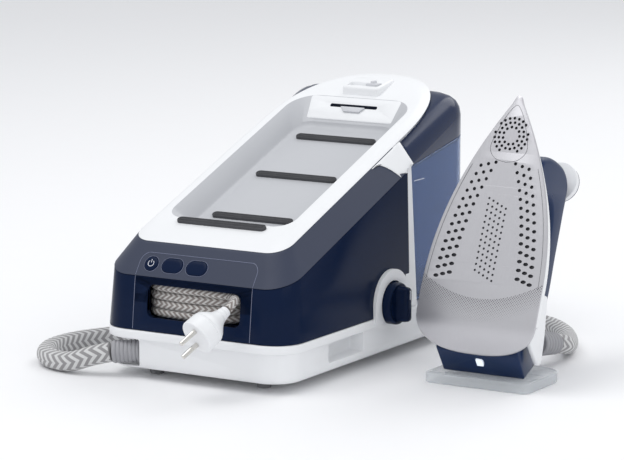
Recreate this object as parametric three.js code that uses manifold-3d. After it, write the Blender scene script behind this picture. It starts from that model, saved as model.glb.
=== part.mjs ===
// A domestic steam generator iron: a boiler station with a sloping iron rest, a removable water
// tank, a mains lead wound in its front compartment, and the iron standing on its heel beside it.
// Millimetres, +X to the station's right, +Y to its back, +Z up, the table at z = 0.
import * as THREE from "three";
import { ConvexGeometry } from "three/addons/geometries/ConvexGeometry.js";
import { mergeVertices } from "three/addons/utils/BufferGeometryUtils.js";
import Module from "manifold-3d";

const wasm = await Module();
wasm.setup();

// ---- Driving dimensions -------------------------------------------------------------------
const GAP = 0.3; // clearance between neighbouring pieces
const WALL = 3; // thickness of the moulded shells

const BODY_HALF = 105.4; // half width of the body at its foot
const BODY_FRONT = -1.8; // front face at its foot
const BODY_FOOT = 47.3; // where the body stands on the base
const BODY_REAR = 229.6; // back of the body, against the rear frame
const SIDE_TAPER = 0.052; // how much each side leans in per millimetre of height
const FRONT_TAPER = 0.11; // how much the front leans back per millimetre of height

const SLOPE = 0.368; // rise of the whole upper deck towards the back
const BAND_LOW = 97; // height of the lower edge of the control band at y = 0
const BAND_HIGH = 119; // height of its upper edge at y = 0
const RIM_TOP = 125; // height of the cradle's rim at y = 0
const DISH_FLOOR = 102.5; // height of the cradle's floor at y = 0

const CRADLE_HALF = 85;
const CRADLE_FRONT = 24.5;
const CRADLE_REAR = 370;
const RIM_HALF = 74;
const RIM_FRONT = 46;
const RIM_REAR = 352;
const TAIL_START = 250; // from here the cradle rounds off towards the back
const DISH_HALF = 69;

const BASE_HALF = 106;
const BASE_FRONT = -3.5;
const BASE_REAR = 380;
const BASE_BOTTOM = 10;
const RIM_BOTTOM = 38.6; // underside of the base's proud rim
const FOOT_HEIGHT = 9.7;
const FOOT_PLACES = [[-60, 32], [60, 32], [-70, 345], [70, 345]];

const FASCIA_HALF = 65; // half width of the front panel
const PANEL_TOP = 119;
const OPENING = { left: -50, right: 53, low: 60.5, high: 91.5 }; // mouth of the cord compartment
const BIN_DEPTH = 86;

const KNOB = { y: 190, z: 58, radius: 20.5, bezel: 33 };

const TANK = { front: 242, rear: 376, half: 96, low: 48, cornerRadius: 38 };
const CAP_SPLIT = 139.5; // height of the joint between tank and cap at y = 0
const CAP_SLOPE = 0.176;
const CAP_TOP = 116; // height of the cap's top at y = 0, under the cradle

const IRON_LEAN = THREE.MathUtils.degToRad(23.5); // how far the standing iron leans back
const IRON_PLACE = [231.5, 112.2, 38.4];
const SOLE = { length: 249, half: 62.5, thickness: 3, curl: 13, curlLength: 45 };
const GRIP_HALF = 15;
const CAP_PLACE = 196; // where the round cap sits, along the handle
const HEEL_REST_HEIGHT = 10;

const HOSE_DIAMETER = 19;
const HOSE_EXIT = { y: 11, z: 25 }; // where the steam hose leaves the base, in its front left notch
const LEAD_DIAMETER = 8;
const HANK = { halfLength: 58, halfDepth: 37.8, low: 59, high: 92.2, y: 45.3, x: -10 };

// Colours and finishes.
const FINISH = {
  white: [0xeef0f2, 0.4, 0],
  grey: [0xd9dadf, 0.45, 0],
  rubber: [0x47484c, 0.8, 0],
  slate: [0x454d62, 0.35, 0.1],
  navy: [0x0f1b34, 0.25, 0],
  handle: [0x1a2d52, 0.4, 0],
  tank: [0x4c62a0, 0.1, 0],
  clear: [0xe6ecf0, 0.08, 0],
  sole: [0xb9b6c2, 0.3, 0.9],
  steel: [0xb8bcc0, 0.35, 0.9],
  brass: [0xb5954a, 0.35, 0.9],
  board: [0x2c6b45, 0.6, 0],
  textile: [0x9c9a98, 0.9, 0],
};

// ---- Tools --------------------------------------------------------------------------------
function toSolid(geometry) {
  const bare = geometry.index ? geometry.toNonIndexed() : geometry.clone();
  bare.deleteAttribute("normal");
  bare.deleteAttribute("uv");
  const merged = mergeVertices(bare, 1e-3);
  return new wasm.Manifold(
    new wasm.Mesh({
      numProp: 3,
      vertProperties: merged.attributes.position.array,
      triVerts: new Uint32Array(merged.index.array),
    }),
  );
}

function toGeometry(solid) {
  const mesh = solid.getMesh();
  const geometry = new THREE.BufferGeometry();
  geometry.setAttribute("position", new THREE.BufferAttribute(mesh.vertProperties, 3));
  geometry.setIndex(new THREE.BufferAttribute(mesh.triVerts, 1));
  return geometry.toNonIndexed();
}

function hull(points) {
  return toSolid(new ConvexGeometry(points.map((p) => new THREE.Vector3(...p))));
}

function box(x0, x1, y0, y1, z0, z1) {
  const geometry = new THREE.BoxGeometry(x1 - x0, y1 - y0, z1 - z0);
  geometry.translate((x0 + x1) / 2, (y0 + y1) / 2, (z0 + z1) / 2);
  return toSolid(geometry);
}

// A round bar from one point to another, with its own radius at each end.
function rod(from, to, startRadius, endRadius = startRadius, sides = 20) {
  const a = new THREE.Vector3(...from);
  const b = new THREE.Vector3(...to);
  const axis = b.clone().sub(a);
  const geometry = new THREE.CylinderGeometry(endRadius, startRadius, axis.length(), sides);
  const up = new THREE.Vector3(0, 1, 0);
  geometry.applyQuaternion(new THREE.Quaternion().setFromUnitVectors(up, axis.normalize()));
  const middle = a.add(b).multiplyScalar(0.5);
  geometry.translate(middle.x, middle.y, middle.z);
  return toSolid(geometry);
}

// A flat outline of [a, b] points, extruded. The basis says where a, b and the depth point.
function prism(outline, depth, basis, origin = [0, 0, 0]) {
  const shape = new THREE.Shape(outline.map(([a, b]) => new THREE.Vector2(a, b)));
  const geometry = new THREE.ExtrudeGeometry(shape, { depth, bevelEnabled: false });
  const matrix = new THREE.Matrix4().makeBasis(...basis.map((v) => new THREE.Vector3(...v)));
  matrix.setPosition(...origin);
  geometry.applyMatrix4(matrix);
  return toSolid(geometry);
}

const ALONG_Z = [[1, 0, 0], [0, 1, 0], [0, 0, 1]];
const ALONG_Y = [[-1, 0, 0], [0, 0, 1], [0, 1, 0]];

function arc(cx, cy, radius, startDegrees, endDegrees, steps) {
  return Array.from({ length: steps + 1 }, (_, i) => {
    const angle = THREE.MathUtils.degToRad(startDegrees + ((endDegrees - startDegrees) * i) / steps);
    return [cx + radius * Math.cos(angle), cy + radius * Math.sin(angle)];
  });
}

// A plan outline with rounded corners, anticlockwise from its front right corner.
function plan(half, front, rear, frontRadius, rearRadius, steps = 4) {
  const frontX = half - frontRadius;
  const rearX = half - rearRadius;
  return [
    ...arc(frontX, front + frontRadius, frontRadius, -90, 0, steps),
    ...arc(rearX, rear - rearRadius, rearRadius, 0, 90, steps),
    ...arc(-rearX, rear - rearRadius, rearRadius, 90, 180, steps),
    ...arc(-frontX, front + frontRadius, frontRadius, 180, 270, steps),
  ];
}

// A boat-shaped plan: rounded front corners and a full, rounded stern.
function boatPlan(half, front, rear, frontRadius, tailStart = TAIL_START, steps = 12) {
  const fullness = 2.5;
  const stern = Array.from({ length: steps + 1 }, (_, i) => {
    const angle = (Math.PI * i) / steps;
    const across = Math.sign(Math.cos(angle)) * Math.abs(Math.cos(angle)) ** (2 / fullness);
    const along = Math.sin(angle) ** (2 / fullness);
    return [half * across, tailStart + (rear - tailStart) * along];
  });
  return [
    ...arc(half - frontRadius, front + frontRadius, frontRadius, -90, 0, 4),
    ...stern,
    ...arc(frontRadius - half, front + frontRadius, frontRadius, 180, 270, 4),
  ];
}

// Lifts a plan outline to a height that may depend on y.
function raise(outline, height) {
  return outline.map(([x, y]) => [x, y, typeof height === "number" ? height : height(y)]);
}

const slopeFrom = (height) => (y) => height + SLOPE * y;
const bandLow = slopeFrom(BAND_LOW);
const bandHigh = slopeFrom(BAND_HIGH);
const rimTop = slopeFrom(RIM_TOP);
const dishFloor = slopeFrom(DISH_FLOOR);
const halfAt = (z) => BODY_HALF - SIDE_TAPER * (z - BODY_FOOT);
const frontAt = (z) => BODY_FRONT + FRONT_TAPER * (z - BODY_FOOT);
const capSplit = (y) => CAP_SPLIT + CAP_SLOPE * y;
const capTop = (y) => CAP_TOP + SLOPE * y;

const scene = new THREE.Group();

function add(name, solid, [color, roughness, metalness], parent = scene) {
  const material = new THREE.MeshStandardMaterial({ color, roughness, metalness });
  const mesh = new THREE.Mesh(toGeometry(solid), material);
  mesh.name = name;
  parent.add(mesh);
  return mesh;
}

// ---- Base ---------------------------------------------------------------------------------
function baseShell(inset, low, high) {
  const half = BASE_HALF - inset;
  const front = BASE_FRONT + inset;
  const rear = BASE_REAR - inset;
  const skirtTop = raise(plan(half - 2.5, front + 2.5, rear - 2.5, 32, 36), RIM_BOTTOM - inset / 2);
  const skirtLow = raise(plan(half - 2.5, front + 2.5, rear - 2.5, 32, 36), 15);
  const bottom = raise(plan(half - 6, front + 6, rear - 6, 29, 33), low);
  const rimLow = raise(plan(half, front, rear, 33, 37), RIM_BOTTOM - inset / 2);
  const rimHigh = raise(plan(half, front, rear, 33, 37), high);
  return hull([...skirtTop, ...skirtLow, ...bottom]).add(hull([...rimLow, ...rimHigh]));
}

function base() {
  const outer = baseShell(0, BASE_BOTTOM, BODY_FOOT - GAP);
  const inner = baseShell(WALL + 1, BASE_BOTTOM + WALL, BODY_FOOT + 10);
  const pocketBlock = box(82, 110, 71, 146, 15, 43).intersect(outer);
  const exitBlock = box(-110, -54, -10, 50, BASE_BOTTOM + 1, 43).intersect(outer);
  const bezel = rod([96, KNOB.y, KNOB.z], [108.6, KNOB.y, KNOB.z], KNOB.bezel, KNOB.bezel, 32);
  const bezelFoot = box(96, 108.6, KNOB.y - KNOB.bezel, KNOB.y + KNOB.bezel, 30, KNOB.z);
  return outer
    .subtract(inner)
    .add(pocketBlock)
    .add(exitBlock)
    .add(bezel)
    .add(bezelFoot)
    .subtract(box(88, 120, 76, 141, 19, RIM_BOTTOM))
    .subtract(box(-120, -58, -12, 44, 12, RIM_BOTTOM))
    .subtract(rod([-60, HOSE_EXIT.y, HOSE_EXIT.z], [-40, HOSE_EXIT.y, HOSE_EXIT.z], 10.9, 10.9, 20))
    .subtract(rod([100, KNOB.y, KNOB.z], [120, KNOB.y, KNOB.z], KNOB.radius + 2, KNOB.radius + 2, 32))
    .subtract(rod([80, KNOB.y, KNOB.z], [110, KNOB.y, KNOB.z], 6, 6, 16));
}

// ---- Body, control band and front panel ---------------------------------------------------
function bodyHull(inset, low, lift) {
  const foot = raise(
    plan(halfAt(low) - inset, frontAt(low) + inset, BODY_REAR - inset, 30, 2),
    low,
  );
  const top = plan(halfAt(110) - inset, frontAt(98) + inset, BODY_REAR - inset, 28, 2)
    .map(([x, y]) => [x, y, bandLow(y) - GAP / 2 + lift]);
  return hull([...foot, ...top]);
}

const fasciaCut = () => box(-FASCIA_HALF - GAP, FASCIA_HALF + GAP, -20, 12, 40, 140);

function bodyShell() {
  const boreRadius = KNOB.bezel + GAP;
  const knobHole = rod([90, KNOB.y, KNOB.z], [115, KNOB.y, KNOB.z], boreRadius, boreRadius, 32);
  const reach = KNOB.bezel + GAP;
  return bodyHull(0, BODY_FOOT, 0)
    .subtract(bodyHull(WALL, BODY_FOOT - 5, 12))
    .subtract(knobHole)
    .subtract(box(90, 115, KNOB.y - reach, KNOB.y + reach, 40, KNOB.z))
    .subtract(fasciaCut());
}

function bandHull(inset, extra) {
  const low = plan(halfAt(110) - inset, frontAt(98) + inset, BODY_REAR - inset, 28, 2)
    .map(([x, y]) => [x, y, bandLow(y) + GAP / 2 - extra]);
  const high = plan(CRADLE_HALF - inset, CRADLE_FRONT + inset, BODY_REAR - inset, 20, 2)
    .map(([x, y]) => [x, y, bandHigh(y) - GAP / 2 + extra]);
  return hull([...low, ...high]);
}

// The band's front face, from its lower to its upper edge, as a height for each y.
const BAND_RISE = (bandHigh(CRADLE_FRONT) - bandLow(frontAt(98))) / (CRADLE_FRONT - frontAt(98));
const bandFace = (z) => frontAt(98) + (z - bandLow(frontAt(98))) / BAND_RISE;
const PANEL_LEAN = Math.atan(BAND_RISE);
const panelNormal = [0, -Math.sin(PANEL_LEAN), Math.cos(PANEL_LEAN)];

function controlBand() {
  return bandHull(0, 0)
    .subtract(bandHull(WALL, 4))
    .subtract(dishHull(WALL + GAP))
    .subtract(box(-FASCIA_HALF - GAP, FASCIA_HALF + GAP, -20, 40, 80, PANEL_TOP + GAP));
}

function controlPanel() {
  const slab = bandHull(0, 0)
    .subtract(bandHull(WALL, 4))
    .intersect(box(-FASCIA_HALF, FASCIA_HALF, -20, 40, 80, PANEL_TOP));
  return BUTTONS.reduce((panel, b) => panel.subtract(buttonBar(b, GAP + 0.1, 6, -8)), slab);
}

// Places of the three push buttons on the front panel: x, half width and half height.
const BUTTONS = [
  { name: "power_button", x: -51.5, halfWidth: 7.4, halfHeight: 7.4 },
  { name: "boost_button", x: -28, halfWidth: 11.5, halfHeight: 7.4 },
  { name: "program_button", x: -1, halfWidth: 11.5, halfHeight: 7.4 },
];
const BUTTON_HEIGHT = 109.5;

// A capsule-shaped bar across the panel, along its normal, from "inner" to "outer".
function buttonBar({ x, halfWidth, halfHeight }, grow, outer, inner) {
  const side = halfWidth - halfHeight;
  const r = halfHeight + grow;
  const outline = [...arc(side, 0, r, -90, 90, 8), ...arc(-side, 0, r, 90, 270, 8)];
  const clean = outline.filter(([a, b], i) => {
    const [lastA, lastB] = i === 0 ? [Infinity, Infinity] : outline[i - 1];
    return Math.hypot(a - lastA, b - lastB) > 0.01;
  });
  const last = clean[clean.length - 1];
  if (Math.hypot(clean[0][0] - last[0], clean[0][1] - last[1]) < 0.01) clean.pop();
  const [, ny, nz] = panelNormal;
  const basis = [[1, 0, 0], [0, nz, -ny], panelNormal];
  const origin = [x, bandFace(BUTTON_HEIGHT) + inner * ny, BUTTON_HEIGHT + inner * nz];
  return prism(clean, outer - inner, basis, origin);
}

function frontFascia() {
  const slab = bodyHull(0, BODY_FOOT, 0)
    .subtract(bodyHull(WALL, BODY_FOOT - 5, 12))
    .intersect(box(-FASCIA_HALF, FASCIA_HALF, -20, 12, 40, 140));
  const { left, right, low, high } = OPENING;
  const middle = (left + right) / 2;
  const mouth = plan((right - left) / 2, low, high, 6, 6, 3).map(([a, b]) => [a - middle, b]);
  return slab.subtract(prism(mouth, 40, ALONG_Y, [0, -20, 0]));
}

function cordBin() {
  const { left, right, low, high } = OPENING;
  const front = 7.2;
  const reach = 22; // how far the bin runs past the mouth, to its left
  const outer = box(left - reach - 3, right + 4, front, BIN_DEPTH, low - 5, high + 5);
  const inner = box(left - reach, right + 1, front - 5, BIN_DEPTH - 2.5, low - 2, high + 2);
  return outer.subtract(inner);
}

// ---- Cradle -------------------------------------------------------------------------------
function cradleHull(inset, deeper = 2 * inset) {
  const lower = raise(
    boatPlan(CRADLE_HALF - inset, CRADLE_FRONT + inset, CRADLE_REAR - inset, 20),
    (y) => bandHigh(y) + GAP / 2 - deeper,
  );
  const upper = raise(
    boatPlan(RIM_HALF - inset, RIM_FRONT + inset, RIM_REAR - inset, 14),
    (y) => rimTop(y) - inset,
  );
  return hull([...lower, ...upper]);
}

function dishHull(grow) {
  const floor = raise(plan(57 + grow, 74 - grow, 287 + grow, 14, 14), (y) => dishFloor(y) - grow);
  const top = raise(plan(DISH_HALF + grow, 60 - grow, 308 + grow, 16, 26), (y) => rimTop(y) + 2);
  return hull([...floor, ...top]);
}

function cradle() {
  const shell = cradleHull(0).subtract(cradleHull(WALL));
  const dishWall = dishHull(WALL).intersect(cradleHull(0, 30));
  const padSlope = new THREE.Vector2(21, 28).angle();
  const slotCentre = [0, 301.4, 227];
  const [rise, run] = [Math.sin(padSlope), Math.cos(padSlope)];
  const across = [[-1, 0, 0], [0, rise, run], [0, run, -rise]];
  const slot = prism(plan(27, -2.2, 2.2, 1, 1, 2), 16, across, [slotCentre[0], slotCentre[1] - 6, slotCentre[2] + 6]);
  const tab = hull([-21, 21].flatMap((x) => [
    [x, 311, 238],
    [x, 311, 248.5],
    [x, 346, 254.5],
    [x, 346, 246],
  ]));
  return shell
    .subtract(dishHull(0))
    .add(dishWall.subtract(dishHull(0)))
    .add(tab)
    .subtract(slot)
    .subtract(box(-17.5, 17.5, 315.5, 326.5, 246, 275));
}

// A ribbed rubber strip across the cradle, lying on a slope.
function restStrip(halfLength, y, z, lean) {
  const width = 8.5;
  const height = 3;
  const outline = plan(halfLength, -width / 2, width / 2, 4, 4, 2);
  const basis = [[1, 0, 0], [0, Math.cos(lean), Math.sin(lean)], [0, -Math.sin(lean), Math.cos(lean)]];
  return prism(outline, height, basis, [0, y, z]);
}

// ---- Rear frame, knob, latch --------------------------------------------------------------
function rearFrame() {
  const top = 201.5;
  const shoulder = 182;
  const half = halfAt(shoulder);
  const outline = [
    [BODY_HALF, BODY_FOOT],
    [half, shoulder],
    [CRADLE_HALF - 2, top],
    [2 - CRADLE_HALF, top],
    [-half, shoulder],
    [-BODY_HALF, BODY_FOOT],
  ].map(([x, z]) => [-x, z]).reverse();
  return prism(outline, 11, ALONG_Y, [0, BODY_REAR + GAP, 0])
    .subtract(rod([0, 225, 66], [0, 250, 66], 8.3, 8.3, 20))
    .subtract(box(-88, 88, 225, 238, 56, 176))
    .subtract(dishHull(WALL + GAP));
}

function rinseKnob() {
  const disc = rod([101, KNOB.y, KNOB.z], [116, KNOB.y, KNOB.z], KNOB.radius, KNOB.radius - 1.5, 32);
  const grip = box(110, 127, KNOB.y - 6, KNOB.y + 6, KNOB.z - 18, KNOB.z + 18);
  const shaft = rod([87, KNOB.y, KNOB.z], [102, KNOB.y, KNOB.z], 5, 5, 16);
  return disc.add(grip).add(shaft);
}

function lockSlider() {
  const body = box(4, 16.8, 316, 326, 246.3, 251.5);
  const finger = box(9, 12, 317, 325, 251, 254.2);
  return body.add(finger);
}

// ---- Tank ---------------------------------------------------------------------------------
function tankHull(inset, low, high) {
  const rings = [low, high].map((height) =>
    raise(
      plan(TANK.half - inset, TANK.front + inset, TANK.rear - inset, 5, TANK.cornerRadius - inset, 6),
      height,
    ),
  );
  return hull(rings.flat());
}

function waterTank() {
  const wall = 2.5;
  return tankHull(0, TANK.low, capSplit).subtract(
    tankHull(wall, TANK.low + wall, (y) => capSplit(y) + 20),
  ).subtract(rod([0, 230, 66], [0, 250, 66], 5.2, 5.2, 16));
}

const FLAP = { half: 28, low: 212, high: 232, thickness: 2.5 };

function tankCap() {
  const low = (y) => capSplit(y) + GAP;
  const shape = (inset) => {
    const skirt = plan(TANK.half - inset, TANK.front + inset, TANK.rear - inset, 5, 38, 6);
    const crown = plan(TANK.half - 9 - inset, TANK.front + inset, TANK.rear - 12 - inset, 5, 32, 6);
    return hull([
      ...raise(skirt, (y) => low(y) - 4 * inset),
      ...raise(skirt, (y) => Math.min(capTop(y) - 8, 232) - inset),
      ...raise(crown, (y) => capTop(y) - inset),
    ]);
  };
  const { half, low: flapLow, high: flapHigh } = FLAP;
  const wall = 2.5;
  return shape(0)
    .subtract(dishHull(WALL + 2 * GAP))
    .subtract(shape(wall).subtract(dishHull(WALL + 2 * GAP + wall)))
    .subtract(box(-half - 0.4, half + 0.4, 365, 400, flapLow - 0.4, flapHigh + 0.4));
}

function tankFlap() {
  const { half, low, high, thickness } = FLAP;
  const back = TANK.rear;
  const plate = box(-half, half, back - thickness, back, low, high);
  const lug = box(-12, 12, back, back + 2.2, high - 6, high - 3.5);
  return plate.add(lug);
}

// ---- Inner works --------------------------------------------------------------------------
// A drawn steel vessel on its side, with the steam port in its left end.
function boiler() {
  const vessel = (inset) => {
    const profile = [[0, -66], [20, -63], [33, -52], [36, -40], [36, 40], [33, 52], [20, 63], [0, 66]];
    const points = profile.map(([r, a]) => new THREE.Vector2(Math.max(r - inset, 0), a * (1 - inset / 66)));
    const geometry = new THREE.LatheGeometry(points, 24);
    geometry.rotateZ(Math.PI / 2);
    geometry.translate(0, 158, 98);
    return toSolid(geometry);
  };
  return vessel(0).subtract(vessel(1.6)).subtract(rod([-90, 158, 98], [-50, 158, 98], 5, 5, 12));
}

// ---- Iron, in its own frame: x to its left, y along the sole to the tip, z up from the sole ---
function soleOutline(inset) {
  const { length, half } = SOLE;
  const rear = 34;
  const right = [];
  const steps = 10;
  for (let i = 0; i <= 5; i += 1) {
    const angle = (Math.PI / 2) * (i / 5);
    const bulge = 2 / 2.6;
    right.push([half * Math.sin(angle) ** bulge, rear * (1 - Math.cos(angle) ** bulge)]);
  }
  const start = 58;
  right.push([half, start]);
  for (let i = 1; i < steps; i += 1) {
    const t = i / steps;
    right.push([half * (1 - t ** 2.05) ** 1.02, start + (length - start) * t]);
  }
  right.push([2.5, length - 1.2]);
  const inner = right.map(([x, y]) => [Math.max(x - inset, 0.5), y]);
  const scaled = inner.map(([x, y]) => [x, y + inset * (1 - (2 * y) / length)]);
  const left = scaled.slice(1).reverse().map(([x, y]) => [-x, y]);
  const first = [[0, scaled[0][1]]];
  return [...first, ...scaled.slice(1), ...left];
}

// The side profile of the sole: flat from the tip, then curling up towards the heel.
function soleProfile(offset, top) {
  const { length, curl, curlLength } = SOLE;
  const under = [];
  for (let i = 0; i <= 5; i += 1) {
    const t = i / 5;
    under.push([curlLength * t, curl * (1 - t) ** 2 + offset]);
  }
  const over = under.map(([y, z]) => [y, z + top]).reverse();
  const behind = curl * 1.28 + offset;
  const ahead = length + 5;
  return [[-6, behind], ...under, [ahead, offset], [ahead, offset + top], ...over, [-6, behind + top]];
}

const SIDEWAYS = [[0, 1, 0], [0, 0, 1], [1, 0, 0]];

function steamHolePlaces() {
  const places = [];
  for (let row = 0; row < 9; row += 1) {
    const y = 72 + 14 * row;
    const x = 44 - 0.011 * (row * 14) ** 1.45;
    places.push([x, y], [-x, y]);
  }
  for (let i = 0; i < 5; i += 1) {
    places.push([(i - 2) * 5, 205 + 4 * Math.abs(i - 2)]);
  }
  return places;
}

function soleplate() {
  const plate = prism(soleOutline(0), 40, ALONG_Z, [0, 0, -2])
    .intersect(prism(soleProfile(0, SOLE.thickness), 150, SIDEWAYS, [-75, 0, 0]));
  return steamHolePlaces().reduce(
    (rest, [x, y]) => rest.subtract(rod([x, y, -2], [x, y, 6], 1.9, 1.9, 6)),
    plate,
  );
}

function steamChamber() {
  const low = soleOutline(11).map(([x, y]) => [x, Math.max(y, 48), 3 + GAP]);
  const high = soleOutline(20).map(([x, y]) => [x, Math.min(Math.max(y, 56), 205), 20]);
  return hull([...low, ...high]);
}

function skirtHull(inset) {
  const bottom = soleOutline(1.5 + inset).map(([x, y]) => [x, Math.max(y, 34 + inset)]);
  const waist = soleOutline(9 + inset).map(([x, y]) => [x, Math.min(Math.max(y, 34 + inset), 232 - inset)]);
  const crown = soleOutline(20 + inset).map(([x, y]) => [x, Math.min(Math.max(y, 34 + inset), 212 - inset)]);
  return hull([
    ...bottom.map(([x, y]) => [x, y, SOLE.thickness + GAP + 1 - 3 * inset]),
    ...waist.map(([x, y]) => [x, y, 26 - inset]),
    ...crown.map(([x, y]) => [x, y, 42 - inset]),
  ]);
}

function ironSkirt() {
  return skirtHull(0).subtract(skirtHull(2.2)).subtract(box(-80, 80, -20, 34.2, -5, 60));
}

// The heel: a block behind the sole, cut to stand level on the clear rest.
const HEEL_LEVEL = HEEL_REST_HEIGHT + GAP - IRON_PLACE[2]; // the rest's top, above the iron's origin
const groundLine = (h, level = HEEL_LEVEL) => h * Math.tan(IRON_LEAN) + level / Math.cos(IRON_LEAN);

// The status light's lens, let into the front of the heel. "grow" makes its pocket.
function statusLens(grow) {
  const face = (z) => 2 - ((z - 18) * (2 - groundLine(40))) / 22;
  const rows = [25 - grow, 31 + grow];
  const corners = rows.flatMap((z) => [[face(z) - 0.4 - 3 * grow, z], [1.7 + grow, z]]);
  return hull([-3.5 - grow, 3.5 + grow].flatMap((x) => corners.map(([y, z]) => [x, y, z])));
}

function ironHeel() {
  const outline = [
    [2, 18],
    [groundLine(40), 40],
    [groundLine(88), 88],
    [33, 88],
    [33, 9],
  ];
  const side = outline.map(([y, z]) => [z > 60 ? 26 : 43, y, z]);
  const block = hull([...side, ...side.map(([x, y, z]) => [-x, y, z])]);
  return block.subtract(statusLens(GAP));
}

const HANDLE_OUTLINE = [
  [33.5, 42.6],
  [33.5, 88.4],
  [groundLine(88.4) + 0.2, 88.4],
  [groundLine(114) + 6, 114],
  [40, 116],
  [110, 114],
  [170, 112],
  [196, 108],
  [206, 96],
  [208, 70],
  [200, 42.6],
];

const FINGER_GAP = [
  [52, 58],
  [52, 82],
  [64, 88],
  [150, 86],
  [164, 80],
  [168, 66],
  [164, 58],
];

function ironHandle() {
  const shape = new THREE.Shape(HANDLE_OUTLINE.map(([a, b]) => new THREE.Vector2(a, b)).reverse());
  const bevel = 3;
  const geometry = new THREE.ExtrudeGeometry(shape, {
    depth: 2 * (GRIP_HALF - bevel),
    bevelThickness: bevel,
    bevelSize: bevel,
    bevelOffset: -bevel,
    bevelSegments: 2,
    steps: 1,
  });
  const matrix = new THREE.Matrix4().makeBasis(...SIDEWAYS.map((v) => new THREE.Vector3(...v)));
  geometry.applyMatrix4(matrix);
  geometry.translate(bevel - GRIP_HALF, 0, 0);
  const bulk = toSolid(geometry);
  const gap = prism([...FINGER_GAP].reverse(), 60, SIDEWAYS, [-30, 0, 0]);
  const triggerPocket = box(-7.4, 7.4, 137.6, 163.4, 80, 98);
  return bulk.subtract(gap).subtract(triggerPocket);
}

function handleCap() {
  const y = CAP_PLACE;
  return rod([0, y, 114.4], [0, y, 122], 19.5, 18, 24)
    .add(rod([0, y, 122], [0, y, 128], 18, 14.5, 24))
    .subtract(rod([0, y, 121.5], [0, y, 140], 7.4));
}

// ---- Cords --------------------------------------------------------------------------------
const HOSE_RADIUS = HOSE_DIAMETER / 2;
const HOSE_LEVEL = HOSE_RADIUS + 0.3;
const BOOT_START = [240, 237.2, 24];
const BOOT_END = [245.2, 266, 19.4];
const SLEEVE_START = [-63.6, HOSE_EXIT.y, HOSE_EXIT.z];
const SLEEVE_END = [-88.2, -1, 23.4];

// From the station's sleeve: a wide turn at the front left, back along the station's side, one
// loose loop behind it, and round to the iron's boot. It lies on the table between its two ends.
const HOSE_ROUTE = [
  [-89.9, -1.7, 23.2],
  [-106, -8, 19],
  [-129, -11.5, 11.5],
  [-153, -6, HOSE_LEVEL],
  [-174, 10, HOSE_LEVEL],
  [-186.6, 38, HOSE_LEVEL],
  [-185, 74, HOSE_LEVEL],
  [-167, 115, HOSE_LEVEL],
  [-147, 160, HOSE_LEVEL],
  [-135, 215, HOSE_LEVEL],
  [-133, 270, HOSE_LEVEL],
  [-132, 322, HOSE_LEVEL],
  [-115, 366, HOSE_LEVEL],
  [-82, 398, HOSE_LEVEL],
  [-43, 415, HOSE_LEVEL],
  [7, 420, HOSE_LEVEL],
  [53, 441, HOSE_LEVEL],
  [79, 482, HOSE_LEVEL],
  [76, 532, HOSE_LEVEL],
  [44, 572, HOSE_LEVEL],
  [-6, 587, HOSE_LEVEL],
  [-56, 573, HOSE_LEVEL],
  [-89, 535, 11],
  [-95, 487, 17],
  [-77, 444, 26.5],
  [-47, 415, 30.8],
  [-8, 397, 25],
  [37, 391.5, 14],
  [87, 391.5, HOSE_LEVEL],
  [137, 393, HOSE_LEVEL],
  [176, 384, HOSE_LEVEL],
  [208, 358, HOSE_LEVEL],
  [230, 326, HOSE_LEVEL],
  [243, 296, 12.6],
  [246.8, 278, 16.8],
  [245.3, 266.7, 19.3],
];

const LEAD_ROUTE = [
  [34.6, 13.4, 86.4],
  [41, 9.2, 86.4],
  [46.6, 3.6, 86.2],
  [49.6, -3, 85.2],
  [50.6, -9.4, 83.4],
  [50.1, -15.4, 80.6],
];

function tube(route, radius, sides, steps) {
  const places = route.map((p) => new THREE.Vector3(...p));
  const curve = new THREE.CatmullRomCurve3(places, false, "centripetal");
  const outline = arc(0, 0, radius, 0, 360, sides).slice(0, sides);
  const shape = new THREE.Shape(outline.map(([a, b]) => new THREE.Vector2(a, b)));
  return toSolid(new THREE.ExtrudeGeometry(shape, { steps, extrudePath: curve, bevelEnabled: false }));
}

function mainsHank() {
  const { halfLength, halfDepth, low, high, x, y } = HANK;
  const straight = halfLength - halfDepth;
  const outline = [
    ...arc(straight, 0, halfDepth, -90, 90, 10),
    ...arc(-straight, 0, halfDepth, 90, 270, 10),
  ].map(([a, b]) => [x + a, y + b]);
  return prism(outline, high - low, ALONG_Z, [0, 0, low]);
}

// The plug: a grip that tapers to the lead, and two round pins on its face.
const PLUG_TAIL = [50, -16.6, 79.9];
const PLUG_FACE = [38.6, -50.4, 59];

function along(from, to, distance, shift = [0, 0, 0]) {
  const a = new THREE.Vector3(...from);
  const direction = new THREE.Vector3(...to).sub(a).normalize();
  return a.addScaledVector(direction, distance).add(new THREE.Vector3(...shift)).toArray();
}

const PLUG_LENGTH = new THREE.Vector3(...PLUG_TAIL).distanceTo(new THREE.Vector3(...PLUG_FACE));
const onPlug = (distance, shift) => along(PLUG_TAIL, PLUG_FACE, distance, shift);

function mainsPlug() {
  const neck = rod(onPlug(0), onPlug(13), 5.2, 8, 16);
  const body = rod(onPlug(12), onPlug(24), 8, 16.5, 24);
  const face = rod(onPlug(23.5), onPlug(PLUG_LENGTH), 16.5, 17.5, 24);
  return neck.add(body).add(face);
}

function plugPins() {
  const axis = new THREE.Vector3(...PLUG_FACE).sub(new THREE.Vector3(...PLUG_TAIL)).normalize();
  const across = new THREE.Vector3(1, 0, -0.35).cross(axis).normalize();
  return [-9.5, 9.5].map((offset) => {
    const shift = across.clone().multiplyScalar(offset).toArray();
    return rod(onPlug(PLUG_LENGTH + GAP, shift), onPlug(PLUG_LENGTH + 19, shift), 2.4, 2.2, 12);
  });
}

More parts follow.
